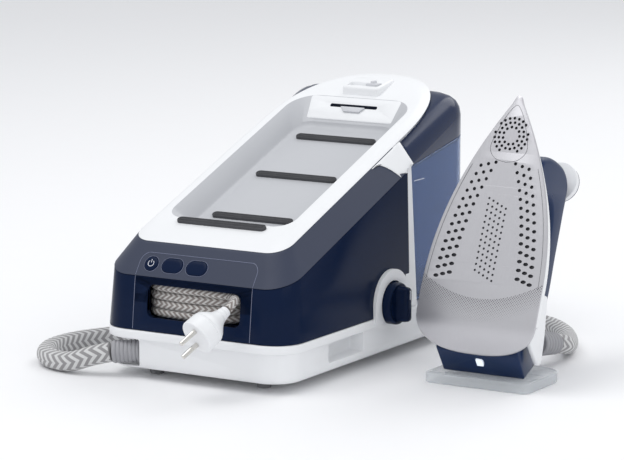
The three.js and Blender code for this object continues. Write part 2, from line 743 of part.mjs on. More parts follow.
// ---- Assembly -----------------------------------------------------------------------------
function addStation() {
  add("base_tray", base(), FINISH.white);
  FOOT_PLACES.forEach(([x, y], i) => {
    add(`foot_${i + 1}`, rod([x, y, 0], [x, y, FOOT_HEIGHT], 6.5, 8, 20), FINISH.grey);
  });
  add("body_shell", bodyShell(), FINISH.navy);
  add("control_band", controlBand(), FINISH.slate);
  add("control_panel", controlPanel(), FINISH.slate);
  add("front_fascia", frontFascia(), FINISH.navy);
  add("cord_bin", cordBin(), FINISH.navy);
  add("cradle", cradle(), FINISH.white);
  const lean = Math.atan(SLOPE);
  add("rest_strip_1", restStrip(49, 53.2, rimTop(53.2) + GAP, lean), FINISH.rubber);
  [[108, 45], [188, 45.5], [264, 45.5]].forEach(([y, half], i) => {
    add(`rest_strip_${i + 2}`, restStrip(half, y, dishFloor(y) + GAP, lean), FINISH.rubber);
  });
  add("rear_frame", rearFrame(), FINISH.white);
  add("rinse_knob", rinseKnob(), FINISH.navy);
  BUTTONS.forEach((b) => add(b.name, buttonBar(b, 0, 1, -5), FINISH.navy));
  add("lock_slider", lockSlider(), FINISH.white);
  add("water_tank", waterTank(), FINISH.tank);
  add("tank_cap", tankCap(), FINISH.navy);
  add("tank_flap", tankFlap(), FINISH.navy);
}

function addInnerWorks() {
  add("boiler", boiler(), FINISH.steel);
  add("boiler_heater", rod([0, 158, 54], [0, 158, 61.6], 30, 30, 24), FINISH.steel);
  add("boiler_stand", box(-34, 34, 124, 192, 13.3, 53.7), FINISH.grey);
  add("drain_valve", box(64, 86.5, 178, 202, 48, 68), FINISH.brass);
  add("pump", rod([-66, 196, 13.3], [-66, 196, 52], 20), FINISH.grey);
  add("steam_valve", rod([-62, 120, 50], [-62, 120, 84], 13, 13, 16), FINISH.brass);
  add("control_board", box(-52, 52, 24, 80, 99, 101), FINISH.board);
  add("tank_socket", rod([0, 230.2, 66], [0, 241.6, 66], 8, 8, 20)
    .subtract(rod([0, 234, 66], [0, 250, 66], 5.4, 5.4, 20)), FINISH.grey);
  add("tank_valve", rod([0, 236, 66], [0, 252, 66], 4.8, 4.8, 16), FINISH.grey);
  const { y, z } = HOSE_EXIT;
  add("hose_socket", rod([-57.6, y, z], [-44, y, z], 10.5), FINISH.grey);
}

function addIron() {
  const iron = new THREE.Group();
  const tip = new THREE.Vector3(0, Math.sin(IRON_LEAN), Math.cos(IRON_LEAN));
  const up = new THREE.Vector3(0, Math.cos(IRON_LEAN), -Math.sin(IRON_LEAN));
  const left = new THREE.Vector3(-1, 0, 0);
  iron.quaternion.setFromRotationMatrix(new THREE.Matrix4().makeBasis(left, tip, up));
  iron.position.set(...IRON_PLACE);
  scene.add(iron);
  add("soleplate", soleplate(), FINISH.sole, iron);
  add("steam_chamber", steamChamber(), FINISH.steel, iron);
  add("iron_skirt", ironSkirt(), FINISH.white, iron);
  add("iron_heel", ironHeel(), FINISH.handle, iron);
  add("status_lens", statusLens(0), FINISH.white, iron);
  add("iron_handle", ironHandle(), FINISH.handle, iron);
  add("handle_cap", handleCap(), FINISH.white, iron);
  const trigger = box(-7, 7, 138, 163, 81, 92).subtract(box(-20, 20, 130, 150, 70, 83));
  add("steam_trigger", trigger, FINISH.white, iron);
  add("mode_button", rod([0, CAP_PLACE, 123.6], [0, CAP_PLACE, 129.4], 7), FINISH.grey, iron);
  add("thermostat", rod([0, 90, 20.3], [0, 90, 30], 9, 9, 16), FINISH.steel, iron);
}

function addHeelRest() {
  const outline = plan(55, 126, 208, 8, 26, 3).map(([x, y]) => [x + IRON_PLACE[0], y]);
  add("heel_rest", prism(outline, HEEL_REST_HEIGHT, ALONG_Z), FINISH.clear);
  add("hose_boot", rod(BOOT_START, BOOT_END, 12.5, 10.6, 20), FINISH.grey);
}

function addCords() {
  add("hose_sleeve", rod(SLEEVE_START, SLEEVE_END, 11, 11, 20), FINISH.grey);
  add("steam_hose", tube(HOSE_ROUTE, HOSE_RADIUS, 10, 76), FINISH.textile);
  add("mains_hank", mainsHank(), FINISH.textile);
  add("mains_lead", tube(LEAD_ROUTE, LEAD_DIAMETER / 2, 8, 10), FINISH.textile);
  add("mains_plug", mainsPlug(), FINISH.white);
  plugPins().forEach((pin, i) => add(`plug_pin_${i + 1}`, pin, FINISH.steel));
}

addStation();
addInnerWorks();
addIron();
addHeelRest();
addCords();

// The origin is under the middle of the station and the iron, on the table.
const CORD_PIECES = [
  "hose_sleeve", "steam_hose", "mains_hank", "mains_lead", "mains_plug", "plug_pin_1", "plug_pin_2",
];
scene.updateMatrixWorld(true);
const extent = new THREE.Box3();
scene.traverse((piece) => {
  if (piece.isMesh && !CORD_PIECES.includes(piece.name)) extent.expandByObject(piece, true);
});
const centre = extent.getCenter(new THREE.Vector3());
scene.position.set(-centre.x, -centre.y, -extent.min.z);

const group = new THREE.Group();
group.add(scene);

export default group;
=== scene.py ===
"""The look of a steam generator iron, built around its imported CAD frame.

Sizes below are millimetres in the station's own frame: x to its right, y to its back, z up from the
table, with x = 0 in its middle and the foot of its front face at y = -1.8. mm() turns them into metres
in the shared frame. The iron has a frame of its own, along its soleplate, which iron() turns."""

import math

import bmesh
import bpy
from mathutils import Matrix, Vector


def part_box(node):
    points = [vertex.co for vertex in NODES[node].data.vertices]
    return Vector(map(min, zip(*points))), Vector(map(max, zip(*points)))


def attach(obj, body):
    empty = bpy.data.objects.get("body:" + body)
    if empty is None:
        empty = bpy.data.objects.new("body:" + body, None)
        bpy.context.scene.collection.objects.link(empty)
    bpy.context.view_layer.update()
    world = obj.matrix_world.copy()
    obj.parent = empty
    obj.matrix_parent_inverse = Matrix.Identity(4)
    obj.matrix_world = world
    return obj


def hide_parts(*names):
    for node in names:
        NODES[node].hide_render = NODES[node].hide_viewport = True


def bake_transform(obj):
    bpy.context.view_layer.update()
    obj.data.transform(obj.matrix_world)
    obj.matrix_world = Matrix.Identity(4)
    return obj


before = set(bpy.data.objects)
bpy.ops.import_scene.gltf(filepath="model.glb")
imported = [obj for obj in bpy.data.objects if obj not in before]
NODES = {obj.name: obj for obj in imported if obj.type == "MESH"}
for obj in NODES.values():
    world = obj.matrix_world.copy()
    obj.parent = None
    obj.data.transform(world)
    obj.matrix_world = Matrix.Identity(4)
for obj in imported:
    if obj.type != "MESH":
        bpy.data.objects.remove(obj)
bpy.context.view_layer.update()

# ---- Places ----
BODY_FRONT = -1.8
shell_low, shell_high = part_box("body_shell")
ORIGIN = Vector(((shell_low.x + shell_high.x) / 2, shell_low.y - BODY_FRONT / 1000, 0))


def mm(point):
    return ORIGIN + Vector(point) / 1000


IRON_LEAN = math.radians(23.5)
IRON_PLACE = (231.5, 112.2, 38.4)
IRON_AXES = Matrix((
    (-1, 0, 0),
    (0, math.sin(IRON_LEAN), math.cos(IRON_LEAN)),
    (0, math.cos(IRON_LEAN), -math.sin(IRON_LEAN)),
)).transposed()


def iron(point):
    return mm(Vector(IRON_PLACE) + IRON_AXES @ Vector(point))


# ---- Driving dimensions, as in the CAD model ----
BODY_HALF, BODY_FOOT, BODY_REAR = 105.4, 47.3, 229.6
SIDE_TAPER, FRONT_TAPER, SLOPE = 0.052, 0.11, 0.368
BAND_LOW, BAND_HIGH, RIM_TOP, DISH_FLOOR = 97, 119, 125, 102.5
CRADLE = dict(half=85, front=24.5, rear=370, corner=20)
RIM = dict(half=76, front=46, rear=352, corner=14)
TAIL_START = 250
DISH_LOW = dict(half=57, front=74, rear=287)
DISH_HIGH = dict(half=70, front=58, rear=309)
BASE = dict(half=106, front=-3.5, rear=380, rim_bottom=38.6)
FASCIA_HALF, PANEL_TOP = 65, 119
OPENING = dict(left=-50, right=53, low=60.5, high=91.5)
KNOB = dict(y=190, z=58, radius=20.5, bezel=33)
TANK = dict(half=96, front=242, rear=376, low=48, corner=38)
CAP_PLACE = 196  # how far up the iron's handle its round cap sits
SOLE = dict(length=249, half=62.5, curl=13, curl_length=45)
HOSE_RADIUS, LEAD_RADIUS = 9.5, 4.0
HOSE_LEVEL = HOSE_RADIUS + 0.3


def half_at(z):
    return BODY_HALF - SIDE_TAPER * (z - BODY_FOOT)


def front_at(z):
    return BODY_FRONT + FRONT_TAPER * (z - BODY_FOOT)


def deck(height):
    """A height above the table that rises towards the back, as the whole upper deck does."""
    return lambda y: height + SLOPE * y


# The foot of the control band, where the body's taper ends: how far out at the sides, and in front.
BAND_HALF, BAND_FRONT = half_at(110), front_at(98)


# ---- Materials ----
def new_material(name):
    material = bpy.data.materials.new(name)
    material.use_nodes = True
    tree = material.node_tree
    return material, tree, tree.nodes["Principled BSDF"]


def add_node(tree, kind, links=None, **settings):
    node = tree.nodes.new(kind)
    for key, value in settings.items():
        setattr(node, key, value)
    for socket, value in (links or {}).items():
        if isinstance(value, bpy.types.NodeSocket):
            tree.links.new(value, node.inputs[socket])
        else:
            node.inputs[socket].default_value = value
    return node


def noise(tree, scale, detail=4.0):
    place = add_node(tree, "ShaderNodeTexCoord").outputs["Object"]
    return add_node(tree, "ShaderNodeTexNoise", {"Vector": place, "Scale": scale, "Detail": detail})


def blend_colours(tree, factor, dark, light):
    mix = add_node(tree, "ShaderNodeMix", data_type="RGBA")
    tree.links.new(factor, mix.inputs[0])
    mix.inputs[6].default_value = (*dark, 1)
    mix.inputs[7].default_value = (*light, 1)
    return mix.outputs[2]


def moulded(name, colour, rough, variation=0.05, grain=1100.0, depth=0.00002, **sockets):
    """Injection-moulded plastic: faint mottling, a fine spark-eroded grain, and uneven gloss."""
    material, tree, shader = new_material(name)
    mottle = noise(tree, 22.0)
    dark = [c * (1 - variation) for c in colour]
    light = [min(c * (1 + variation), 1) for c in colour]
    base = blend_colours(tree, mottle.outputs["Fac"], dark, light)
    tree.links.new(base, shader.inputs["Base Color"])
    gloss = add_node(tree, "ShaderNodeMapRange", {
        "Value": noise(tree, 75.0).outputs["Fac"], "To Min": rough * 0.8, "To Max": rough * 1.2,
    })
    tree.links.new(gloss.outputs["Result"], shader.inputs["Roughness"])
    bump = add_node(tree, "ShaderNodeBump", {
        "Height": noise(tree, grain, 2.0).outputs["Fac"], "Strength": 0.35, "Distance": depth,
    })
    tree.links.new(bump.outputs["Normal"], shader.inputs["Normal"])
    for socket, value in sockets.items():
        shader.inputs[socket.replace("_", " ")].default_value = value
    return material


def math_node(tree, operation, first, second=0.0):
    return add_node(tree, "ShaderNodeMath", {0: first, 1: second}, operation=operation).outputs[0]


def braided(name, light, dark, columns, pitch):
    """A textile sleeve: chevrons of light and dark yarn, with each yarn raised a little.
    The sleeve's UV runs once around in u, and in metres along in v."""
    material, tree, shader = new_material(name)
    place = add_node(tree, "ShaderNodeTexCoord").outputs["UV"]
    split = add_node(tree, "ShaderNodeSeparateXYZ", {0: place}).outputs
    zigzag = math_node(tree, "PINGPONG", math_node(tree, "MULTIPLY", split[0], columns), 0.5)
    along = math_node(tree, "MULTIPLY", split[1], 1 / pitch)
    phase = math_node(tree, "ADD", along, math_node(tree, "MULTIPLY", zigzag, 1.9))
    stripe = math_node(tree, "PINGPONG", phase, 0.5)
    edge = add_node(tree, "ShaderNodeMapRange", {"Value": stripe, "From Min": 0.2, "From Max": 0.3})
    fuzz = math_node(tree, "MULTIPLY", noise(tree, 900.0).outputs["Fac"], 0.3)
    factor = math_node(tree, "SUBTRACT", edge.outputs["Result"], fuzz)
    tree.links.new(blend_colours(tree, factor, dark, light), shader.inputs["Base Color"])
    yarn = math_node(tree, "SINE", math_node(tree, "MULTIPLY", phase, 8 * math.pi))
    bump = add_node(tree, "ShaderNodeBump", {"Height": yarn, "Strength": 0.5, "Distance": 0.0003})
    tree.links.new(bump.outputs["Normal"], shader.inputs["Normal"])
    shader.inputs["Roughness"].default_value = 0.85
    shader.inputs["Sheen Weight"].default_value = 0.25
    return material


def metal(name, colour, rough, brush=(1, 1, 1), strength=0.15, metallic=1.0):
    """Metal with a directional polish: the noise is stretched by the brush's three scales."""
    material, tree, shader = new_material(name)
    place = add_node(tree, "ShaderNodeTexCoord").outputs["Object"]
    stretched = add_node(tree, "ShaderNodeMapping", {"Vector": place, "Scale": brush})
    lines = add_node(tree, "ShaderNodeTexNoise", {
        "Vector": stretched.outputs[0], "Scale": 140.0, "Detail": 5.0,
    })
    dark = [c * 0.93 for c in colour]
    base = blend_colours(tree, lines.outputs["Fac"], dark, colour)
    tree.links.new(base, shader.inputs["Base Color"])
    gloss = add_node(tree, "ShaderNodeMapRange", {
        "Value": lines.outputs["Fac"], "To Min": rough * 0.8, "To Max": rough * 1.25,
    })
    tree.links.new(gloss.outputs["Result"], shader.inputs["Roughness"])
    bump = add_node(tree, "ShaderNodeBump", {
        "Height": lines.outputs["Fac"], "Strength": strength, "Distance": 0.00005,
    })
    tree.links.new(bump.outputs["Normal"], shader.inputs["Normal"])
    shader.inputs["Metallic"].default_value = metallic
    return material


DOT_PITCH, DOT_BOW = 0.0026, 5.0
DOTS_START, DOTS_END = 0.026, 0.050  # the band of dots, in metres from the heel


def sole_finish():
    """Satin coating with a bowed band of fine dots across the heel, which thin out downwards."""
    material = metal("soleplate_coating", (0.58, 0.575, 0.60), 0.32, (9, 1, 1), 0.06, 0.75)
    tree = material.node_tree
    shader = tree.nodes["Principled BSDF"]
    place = add_node(tree, "ShaderNodeTexCoord").outputs["UV"]
    across, along = add_node(tree, "ShaderNodeSeparateXYZ", {0: place}).outputs[:2]
    turn = 2 * math.pi / DOT_PITCH
    waves = [math_node(tree, "SINE", math_node(tree, "MULTIPLY", axis, turn)) for axis in (across, along)]
    dots = math_node(tree, "MULTIPLY", waves[0], waves[1])
    bow = math_node(tree, "MULTIPLY", math_node(tree, "MULTIPLY", across, across), DOT_BOW)
    height = math_node(tree, "SUBTRACT", along, bow)
    fade = add_node(tree, "ShaderNodeMapRange", {
        "Value": height, "From Min": DOTS_START, "From Max": DOTS_END, "To Min": 1.05, "To Max": 0.25,
    })
    spot = math_node(tree, "GREATER_THAN", dots, fade.outputs["Result"])
    mask = math_node(tree, "MULTIPLY", spot, math_node(tree, "LESS_THAN", height, DOTS_END))
    mix = add_node(tree, "ShaderNodeMix", data_type="RGBA")
    tree.links.new(mask, mix.inputs[0])
    tree.links.new(shader.inputs["Base Color"].links[0].from_socket, mix.inputs[6])
    mix.inputs[7].default_value = (0.12, 0.12, 0.13, 1)
    tree.links.new(mix.outputs[2], shader.inputs["Base Color"])
    return material


WHITE = moulded("white_moulding", (0.84, 0.85, 0.865), 0.38, 0.02)
TRAY = moulded("tray_moulding", (0.52, 0.53, 0.555), 0.45, 0.02)
PALE = moulded("pale_grey_moulding", (0.62, 0.63, 0.66), 0.45, 0.04)
MID_GREY = moulded("mid_grey_moulding", (0.34, 0.34, 0.36), 0.5, 0.05)
RUBBER = moulded("strip_rubber", (0.055, 0.056, 0.062), 0.7, 0.15, 1500.0, 0.00005)
FOOT_RUBBER = moulded("foot_rubber", (0.22, 0.22, 0.23), 0.75, 0.1, 1500.0, 0.00005)
SLATE = moulded("slate_moulding", (0.046, 0.055, 0.088), 0.4, 0.05, Specular_IOR_Level=0.2)
NAVY = moulded(
    "navy_gloss_moulding", (0.0050, 0.0125, 0.040), 0.2, 0.08, 1300.0, 0.000004, Specular_IOR_Level=0.07,
)
HANDLE_BLUE = moulded(
    "handle_moulding", (0.008, 0.024, 0.078), 0.3, 0.08, 1300.0, 0.00003, Specular_IOR_Level=0.25,
)
CAP_BLUE = moulded(
    "cap_gloss_moulding", (0.007, 0.018, 0.060), 0.18, 0.05, 300.0, 0.000004, Specular_IOR_Level=0.35,
)
LINE_WHITE = moulded("line_white", (0.72, 0.74, 0.80), 0.3, 0.03)
LINE_BLUE = moulded("line_blue", (0.16, 0.18, 0.27), 0.3, 0.03)
TANK_BLUE = moulded(
    "tank_clear_moulding", (0.20, 0.29, 0.50), 0.10, 0.04, 300.0, 0.00001,
    Transmission_Weight=0.72, IOR=1.25,
)
CLEAR = moulded(
    "clear_moulding", (0.90, 0.94, 0.97), 0.06, 0.01, 300.0, 0.00001,
    Transmission_Weight=0.5, IOR=1.3, Alpha=0.6,
)
LENS = moulded(
    "lens_moulding", (0.9, 0.93, 1.0), 0.15, 0.02, Emission_Color=(0.8, 0.9, 1, 1), Emission_Strength=0.5,
)
BOARD = moulded("board_laminate", (0.03, 0.14, 0.06), 0.5, 0.2)
STEEL = metal("drawn_steel", (0.62, 0.63, 0.65), 0.3, (1, 8, 8))
ALUMINIUM = metal("cast_aluminium", (0.56, 0.56, 0.58), 0.5)
BRASS = metal("turned_brass", (0.62, 0.47, 0.2), 0.3, (8, 1, 1))
NICKEL = metal("pin_nickel", (0.74, 0.72, 0.68), 0.2, (1, 1, 8))
COATING = sole_finish()
# Painted shade: a flat near-black for the insides of the soleplate's vents and dots, and for its groove
# lines.
PAINTED_SHADE = moulded("vent_shadow", (0.05, 0.05, 0.06), 0.5)
HOSE_CLOTH = braided("hose_textile", (0.74, 0.74, 0.74), (0.30, 0.295, 0.30), 4.0, 0.0085)
LEAD_CLOTH = braided("lead_textile", (0.74, 0.73, 0.71), (0.26, 0.225, 0.21), 3.0, 0.0062)


# ---- Mesh tools ----
SHARP = math.radians(38)


def placed(name, data):
    item = bpy.data.objects.new(name, data)
    bpy.context.scene.collection.objects.link(item)
    return item


def finish_mesh(name, mesh, material, body, nodes=()):
    """Puts a mesh in the scene as a named piece of a body, in place of the CAD nodes given."""
    for polygon in mesh.polygons:
        polygon.use_smooth = True
    mesh.set_sharp_from_angle(angle=SHARP)
    piece = placed(name, mesh)
    if not mesh.materials:
        mesh.materials.append(material)
    mesh.materials[0] = material
    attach(piece, body)
    if nodes:
        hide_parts(*nodes)
    return piece


def arc(cx, cy, radius, start, end, steps):
    angles = [math.radians(start + (end - start) * i / steps) for i in range(steps + 1)]
    return [(cx + radius * math.cos(a), cy + radius * math.sin(a)) for a in angles]


def plan(half, front, rear, front_radius, rear_radius, steps=12):
    """A rectangle with rounded corners, anticlockwise from its front right corner."""
    fx, rx = half - front_radius, half - rear_radius
    return [
        *arc(fx, front + front_radius, front_radius, -90, 0, steps),
        *arc(rx, rear - rear_radius, rear_radius, 0, 90, steps),
        *arc(-rx, rear - rear_radius, rear_radius, 90, 180, steps),
        *arc(-fx, front + front_radius, front_radius, 180, 270, steps),
    ]


def boat(half, front, rear, corner):
    """A boat's plan: rounded front corners and a full, rounded stern."""
    fullness, steps = 2.5, 48
    stern = []
    for i in range(steps + 1):
        angle = math.pi * i / steps
        across = math.copysign(abs(math.cos(angle)) ** (2 / fullness), math.cos(angle))
        along = math.sin(angle) ** (2 / fullness)
        stern.append((half * across, TAIL_START + (rear - TAIL_START) * along))
    return [
        *arc(half - corner, front + corner, corner, -90, 0, 12),
        *stern,
        *arc(corner - half, front + corner, corner, 180, 270, 12),
    ]


def raised(outline, height):
    """A flat outline lifted to a height, which may be a function of y."""
    return [(x, y, height(y) if callable(height) else height) for x, y in outline]


def coloured(mesh, material):
    mesh.materials.clear()
    mesh.materials.append(material)
    return mesh


def made(work):
    """The mesh that a bmesh holds, which is then let go."""
    mesh = bpy.data.meshes.new("mesh")
    work.to_mesh(mesh)
    work.free()
    return mesh


def skin(work, rows):
    """Faces between neighbouring rings of vertices."""
    for low, high in zip(rows, rows[1:]):
        for i in range(len(low)):
            j = (i + 1) % len(low)
            work.faces.new((low[i], low[j], high[j], high[i]))


def loft(rings, place=mm, ends=(True, True)):
    """A skin over rings with equal numbers of points, closed at its ends."""
    work = bmesh.new()
    rows = [[work.verts.new(place(p)) for p in ring] for ring in rings]
    skin(work, rows)
    if ends[0]:
        work.faces.new(rows[0][::-1])
    if ends[1]:
        work.faces.new(rows[-1])
    bmesh.ops.remove_doubles(work, verts=work.verts, dist=1e-6)
    bmesh.ops.recalc_face_normals(work, faces=work.faces)
    return made(work)


def hull(points, place=mm):
    work = bmesh.new()
    for point in points:
        work.verts.new(place(point))
    bmesh.ops.convex_hull(work, input=work.verts)
    bmesh.ops.dissolve_limit(work, angle_limit=0.02, verts=work.verts, edges=work.edges)
    return made(work)


def block(x0, x1, y0, y1, z0, z1, place=mm):
    return hull([(x, y, z) for x in (x0, x1) for y in (y0, y1) for z in (z0, z1)], place)


def turns(sides):
    return [2 * math.pi * i / sides for i in range(sides)]


def disc_rings(start, end, profile, sides=40):
    """Rings of a turned piece: the profile's (radius, distance) pairs run from start towards end."""
    a, axis = Vector(start), (Vector(end) - Vector(start)).normalized()
    side = axis.orthogonal().normalized()
    up = axis.cross(side)
    rings = []
    for radius, distance in profile:
        centre = a + axis * distance
        rings.append([centre + (side * math.cos(t) + up * math.sin(t)) * radius for t in turns(sides)])
    return rings


def turned(start, end, profile, place=mm, sides=40):
    return loft(disc_rings(start, end, profile, sides), place)


def rod(start, end, radius, place=mm, sides=40):
    length = (Vector(end) - Vector(start)).length
    return turned(start, end, [(radius, 0), (radius, length)], place, sides)


def modified(mesh, *steps):
    """The mesh after a list of modifiers, each given as (type, settings)."""
    scratch = placed("scratch", mesh)
    tools = []
    for kind, settings in steps:
        modifier = scratch.modifiers.new(kind, kind)
        for key, value in settings.items():
            if isinstance(value, bpy.types.Mesh):
                value = placed("tool", value)
                tools.append(value)
            setattr(modifier, key, value)
    graph = bpy.context.evaluated_depsgraph_get()
    result = bpy.data.meshes.new_from_object(scratch.evaluated_get(graph))
    for item in [scratch, *tools]:
        bpy.data.objects.remove(item)
    return result


def boolean(operation, tool, **settings):
    return "BOOLEAN", dict(settings, operation=operation, solver="EXACT", object=tool)


def minus(mesh, *cutters):
    """The mesh less its cutters. A cutter with a material of its own gives it to the cut faces."""
    return modified(mesh, *[boolean("DIFFERENCE", c, material_mode="TRANSFER") for c in cutters])


def softened(mesh, width, segments=3, angle=35):
    return modified(mesh, ("BEVEL", dict(
        width=width / 1000, segments=segments, limit_method="ANGLE",
        angle_limit=math.radians(angle), use_clamp_overlap=True, miter_outer="MITER_ARC",
    )))


def cad_mesh(node):
    """A welded copy of a CAD node's mesh, with its flat faces joined up again."""
    mesh = NODES[node].data.copy()
    work = bmesh.new()
    work.from_mesh(mesh)
    bmesh.ops.remove_doubles(work, verts=work.verts, dist=1e-5)
    bmesh.ops.dissolve_limit(work, angle_limit=0.01, verts=work.verts, edges=work.edges)
    work.to_mesh(mesh)
    work.free()
    return mesh


def refined(node, material, body, width=0.8, segments=3):
    """A CAD node's own shape, with its edges rounded."""
    mesh = softened(cad_mesh(node), width, segments)
    finish_mesh(f"{node}_moulding", mesh, material, body, [node])


def smooth_curve(points, per_span=10):
    """Centripetal Catmull-Rom through the points, as the CAD model's cord routes are drawn."""
    p = [Vector(q) for q in points]
    p = [p[0] * 2 - p[1], *p, p[-1] * 2 - p[-2]]
    out = []
    for a, b, c, d in zip(p, p[1:], p[2:], p[3:]):
        t1 = (b - a).length ** 0.5
        t2 = t1 + (c - b).length ** 0.5
        t3 = t2 + (d - c).length ** 0.5
        for i in range(per_span):
            t = t1 + (t2 - t1) * i / per_span
            a1 = a * ((t1 - t) / t1) + b * (t / t1)
            a2 = b * ((t2 - t) / (t2 - t1)) + c * ((t - t1) / (t2 - t1))
            a3 = c * ((t3 - t) / (t3 - t2)) + d * ((t - t2) / (t3 - t2))
            b1 = a1 * ((t2 - t) / t2) + a2 * (t / t2)
            b2 = a2 * ((t3 - t) / (t3 - t1)) + a3 * ((t - t1) / (t3 - t1))
            out.append(b1 * ((t2 - t) / (t2 - t1)) + b2 * ((t - t1) / (t2 - t1)))
    return [*out, p[-2]]


def sleeve_tube(points, radius, sides=20):
    """A tube along points in metres, with u around it and v along it in metres."""
    work = bmesh.new()
    uv = work.loops.layers.uv.new("UVMap")
    side = (points[1] - points[0]).orthogonal().normalized()
    rows, lengths, travelled = [], [], 0.0
    for i, centre in enumerate(points):
        ahead = points[min(i + 1, len(points) - 1)] - points[max(i - 1, 0)]
        axis = ahead.normalized()
        side = (side - axis * side.dot(axis)).normalized()
        up = axis.cross(side)
        circle = [(side * math.cos(t) + up * math.sin(t)) * radius for t in turns(sides)]
        rows.append([work.verts.new(centre + offset) for offset in circle])
        travelled += (centre - points[i - 1]).length if i else 0
        lengths.append(travelled)
    for i in range(len(rows) - 1):
        for k in range(sides):
            j = (k + 1) % sides
            face = work.faces.new((rows[i][k], rows[i][j], rows[i + 1][j], rows[i + 1][k]))
            places = [(k, i), (k + 1, i), (k + 1, i + 1), (k, i + 1)]
            for loop, (around, row) in zip(face.loops, places):
                loop[uv].uv = (around / sides, lengths[row])
    work.faces.new(rows[0][::-1])
    work.faces.new(rows[-1])
    return made(work)


# ---- Camera ----
CAMERA_PLACE, CAMERA_LENS, CAMERA_SENSOR = (1507.94, -2284.9, 615.84), 173.08, 36
CAMERA_DIP, CAMERA_TURN = 9.71, 31.07  # degrees below level, and anticlockwise from straight ahead


def add_camera():
    data = bpy.data.cameras.new("camera")
    data.sensor_width = CAMERA_SENSOR
    data.lens = CAMERA_LENS
    camera = placed("camera", data)
    camera.location = mm(CAMERA_PLACE)
    camera.rotation_euler = (math.radians(90 - CAMERA_DIP), 0, math.radians(CAMERA_TURN))
    bpy.context.scene.camera = camera


# ---- Cords ----
SLEEVE_START, SLEEVE_END = (-63.6, 11, 25), (-88.2, -1, 23.4)
BOOT_START, BOOT_END = (240, 237.2, 24), (245.2, 266, 19.4)

# Places along the hose; those with no height of their own lie on the table.
HOSE_ROUTE = [
    (-89.9, -1.7, 23.2), (-106, -8, 19), (-129, -11.5, 11.5), (-153, -6), (-174, 10), (-186.6, 38),
    (-185, 74), (-167, 115), (-147, 160), (-135, 215), (-133, 270), (-132, 322), (-115, 366), (-82, 398),
    (-43, 415), (7, 420), (53, 441), (79, 482), (76, 532), (44, 572), (-6, 587), (-56, 573),
    (-89, 535, 11), (-95, 487, 17), (-77, 444, 26.5), (-47, 415, 30.8), (-8, 397, 25), (37, 391.5, 14),
    (87, 391.5), (137, 393), (176, 384), (208, 358), (230, 326), (243, 296, 12.6), (246.8, 278, 16.8),
    (245.3, 266.7, 19.3),
]

LEAD_ROUTE = [
    (34.6, 13.4, 86.4), (41, 9.2, 86.4), (46.6, 3.6, 86.2), (49.6, -3, 85.2),
    (50.6, -9.4, 83.4), (50.1, -15.4, 80.6),
]
PLUG_TAIL, PLUG_FACE = (50, -16.6, 79.9), (38.6, -50.4, 59)


def ribbed(start, end, first, last, ribs, depth):
    """A strain relief: a cone with rounded ribs around it."""
    length = (Vector(end) - Vector(start)).length
    steps = ribs * 6
    profile = [(first - 1.0, 0.0)]
    for i in range(steps + 1):
        t = i / steps
        wave = abs(math.sin(math.pi * ribs * t))
        radius = first + (last - first) * t - depth * (1 - wave ** 0.5)
        profile.append((radius, 0.3 + (length - 0.6) * t))
    profile.append((last - 1.0, length))
    return turned(start, end, profile)


def add_hose():
    sleeve = ribbed(SLEEVE_START, SLEEVE_END, 11, 11, 7, 1.0)
    sleeve_piece = finish_mesh(
        "hose_sleeve_ribs", sleeve, MID_GREY, "station", ["hose_sleeve"],
    )
    boot = ribbed(BOOT_START, BOOT_END, 12.5, 10.6, 6, 1.1)
    finish_mesh("hose_boot_ribs", boot, MID_GREY, "iron", ["hose_boot"])
    path = smooth_curve([mm(p if len(p) == 3 else (*p, HOSE_LEVEL)) for p in HOSE_ROUTE])
    mesh = sleeve_tube(path, HOSE_RADIUS / 1000)
    for polygon in mesh.polygons:
        polygon.use_smooth = True
    hose = placed("steam_hose_sleeve", mesh)
    mesh.materials.append(HOSE_CLOTH)
    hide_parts("steam_hose")
    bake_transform(hose)


HANK_X, HANK_Y, HANK_LOW = -10, 45.3, 63.1
HANK_STRAIGHT, HANK_OUTER, HANK_INNER, HANK_PITCH = 20.2, 33.8, 25.6, 8.2


def hank_turns():
    """Nested stadium turns, two wide and four high, from the middle of the bin's rear wall."""
    outer, inner = HANK_OUTER, HANK_INNER
    order = [outer, inner, inner, outer, outer, inner, outer]
    steps = 36
    points = []
    for turn, radius in enumerate(order):
        last = max(turn - 1, 0)
        level = HANK_LOW + HANK_PITCH * (turn // 2)
        level_before = HANK_LOW + HANK_PITCH * (last // 2)
        for i in range(steps):
            share = min(i / (steps * 0.2), 1)
            share = share * share * (3 - 2 * share)
            r = order[last] + (radius - order[last]) * share
            z = level_before + (level - level_before) * share
            angle = math.pi / 2 + 2 * math.pi * i / steps
            shift = HANK_STRAIGHT * max(-1, min(1, math.cos(angle) * 2.2))
            offset = Vector((shift + r * math.cos(angle), r * math.sin(angle), z))
            points.append(Vector((HANK_X, HANK_Y, 0)) + offset)
    return points[:-(steps // 2 - 2)]  # the last turn stops half way round, behind the mouth


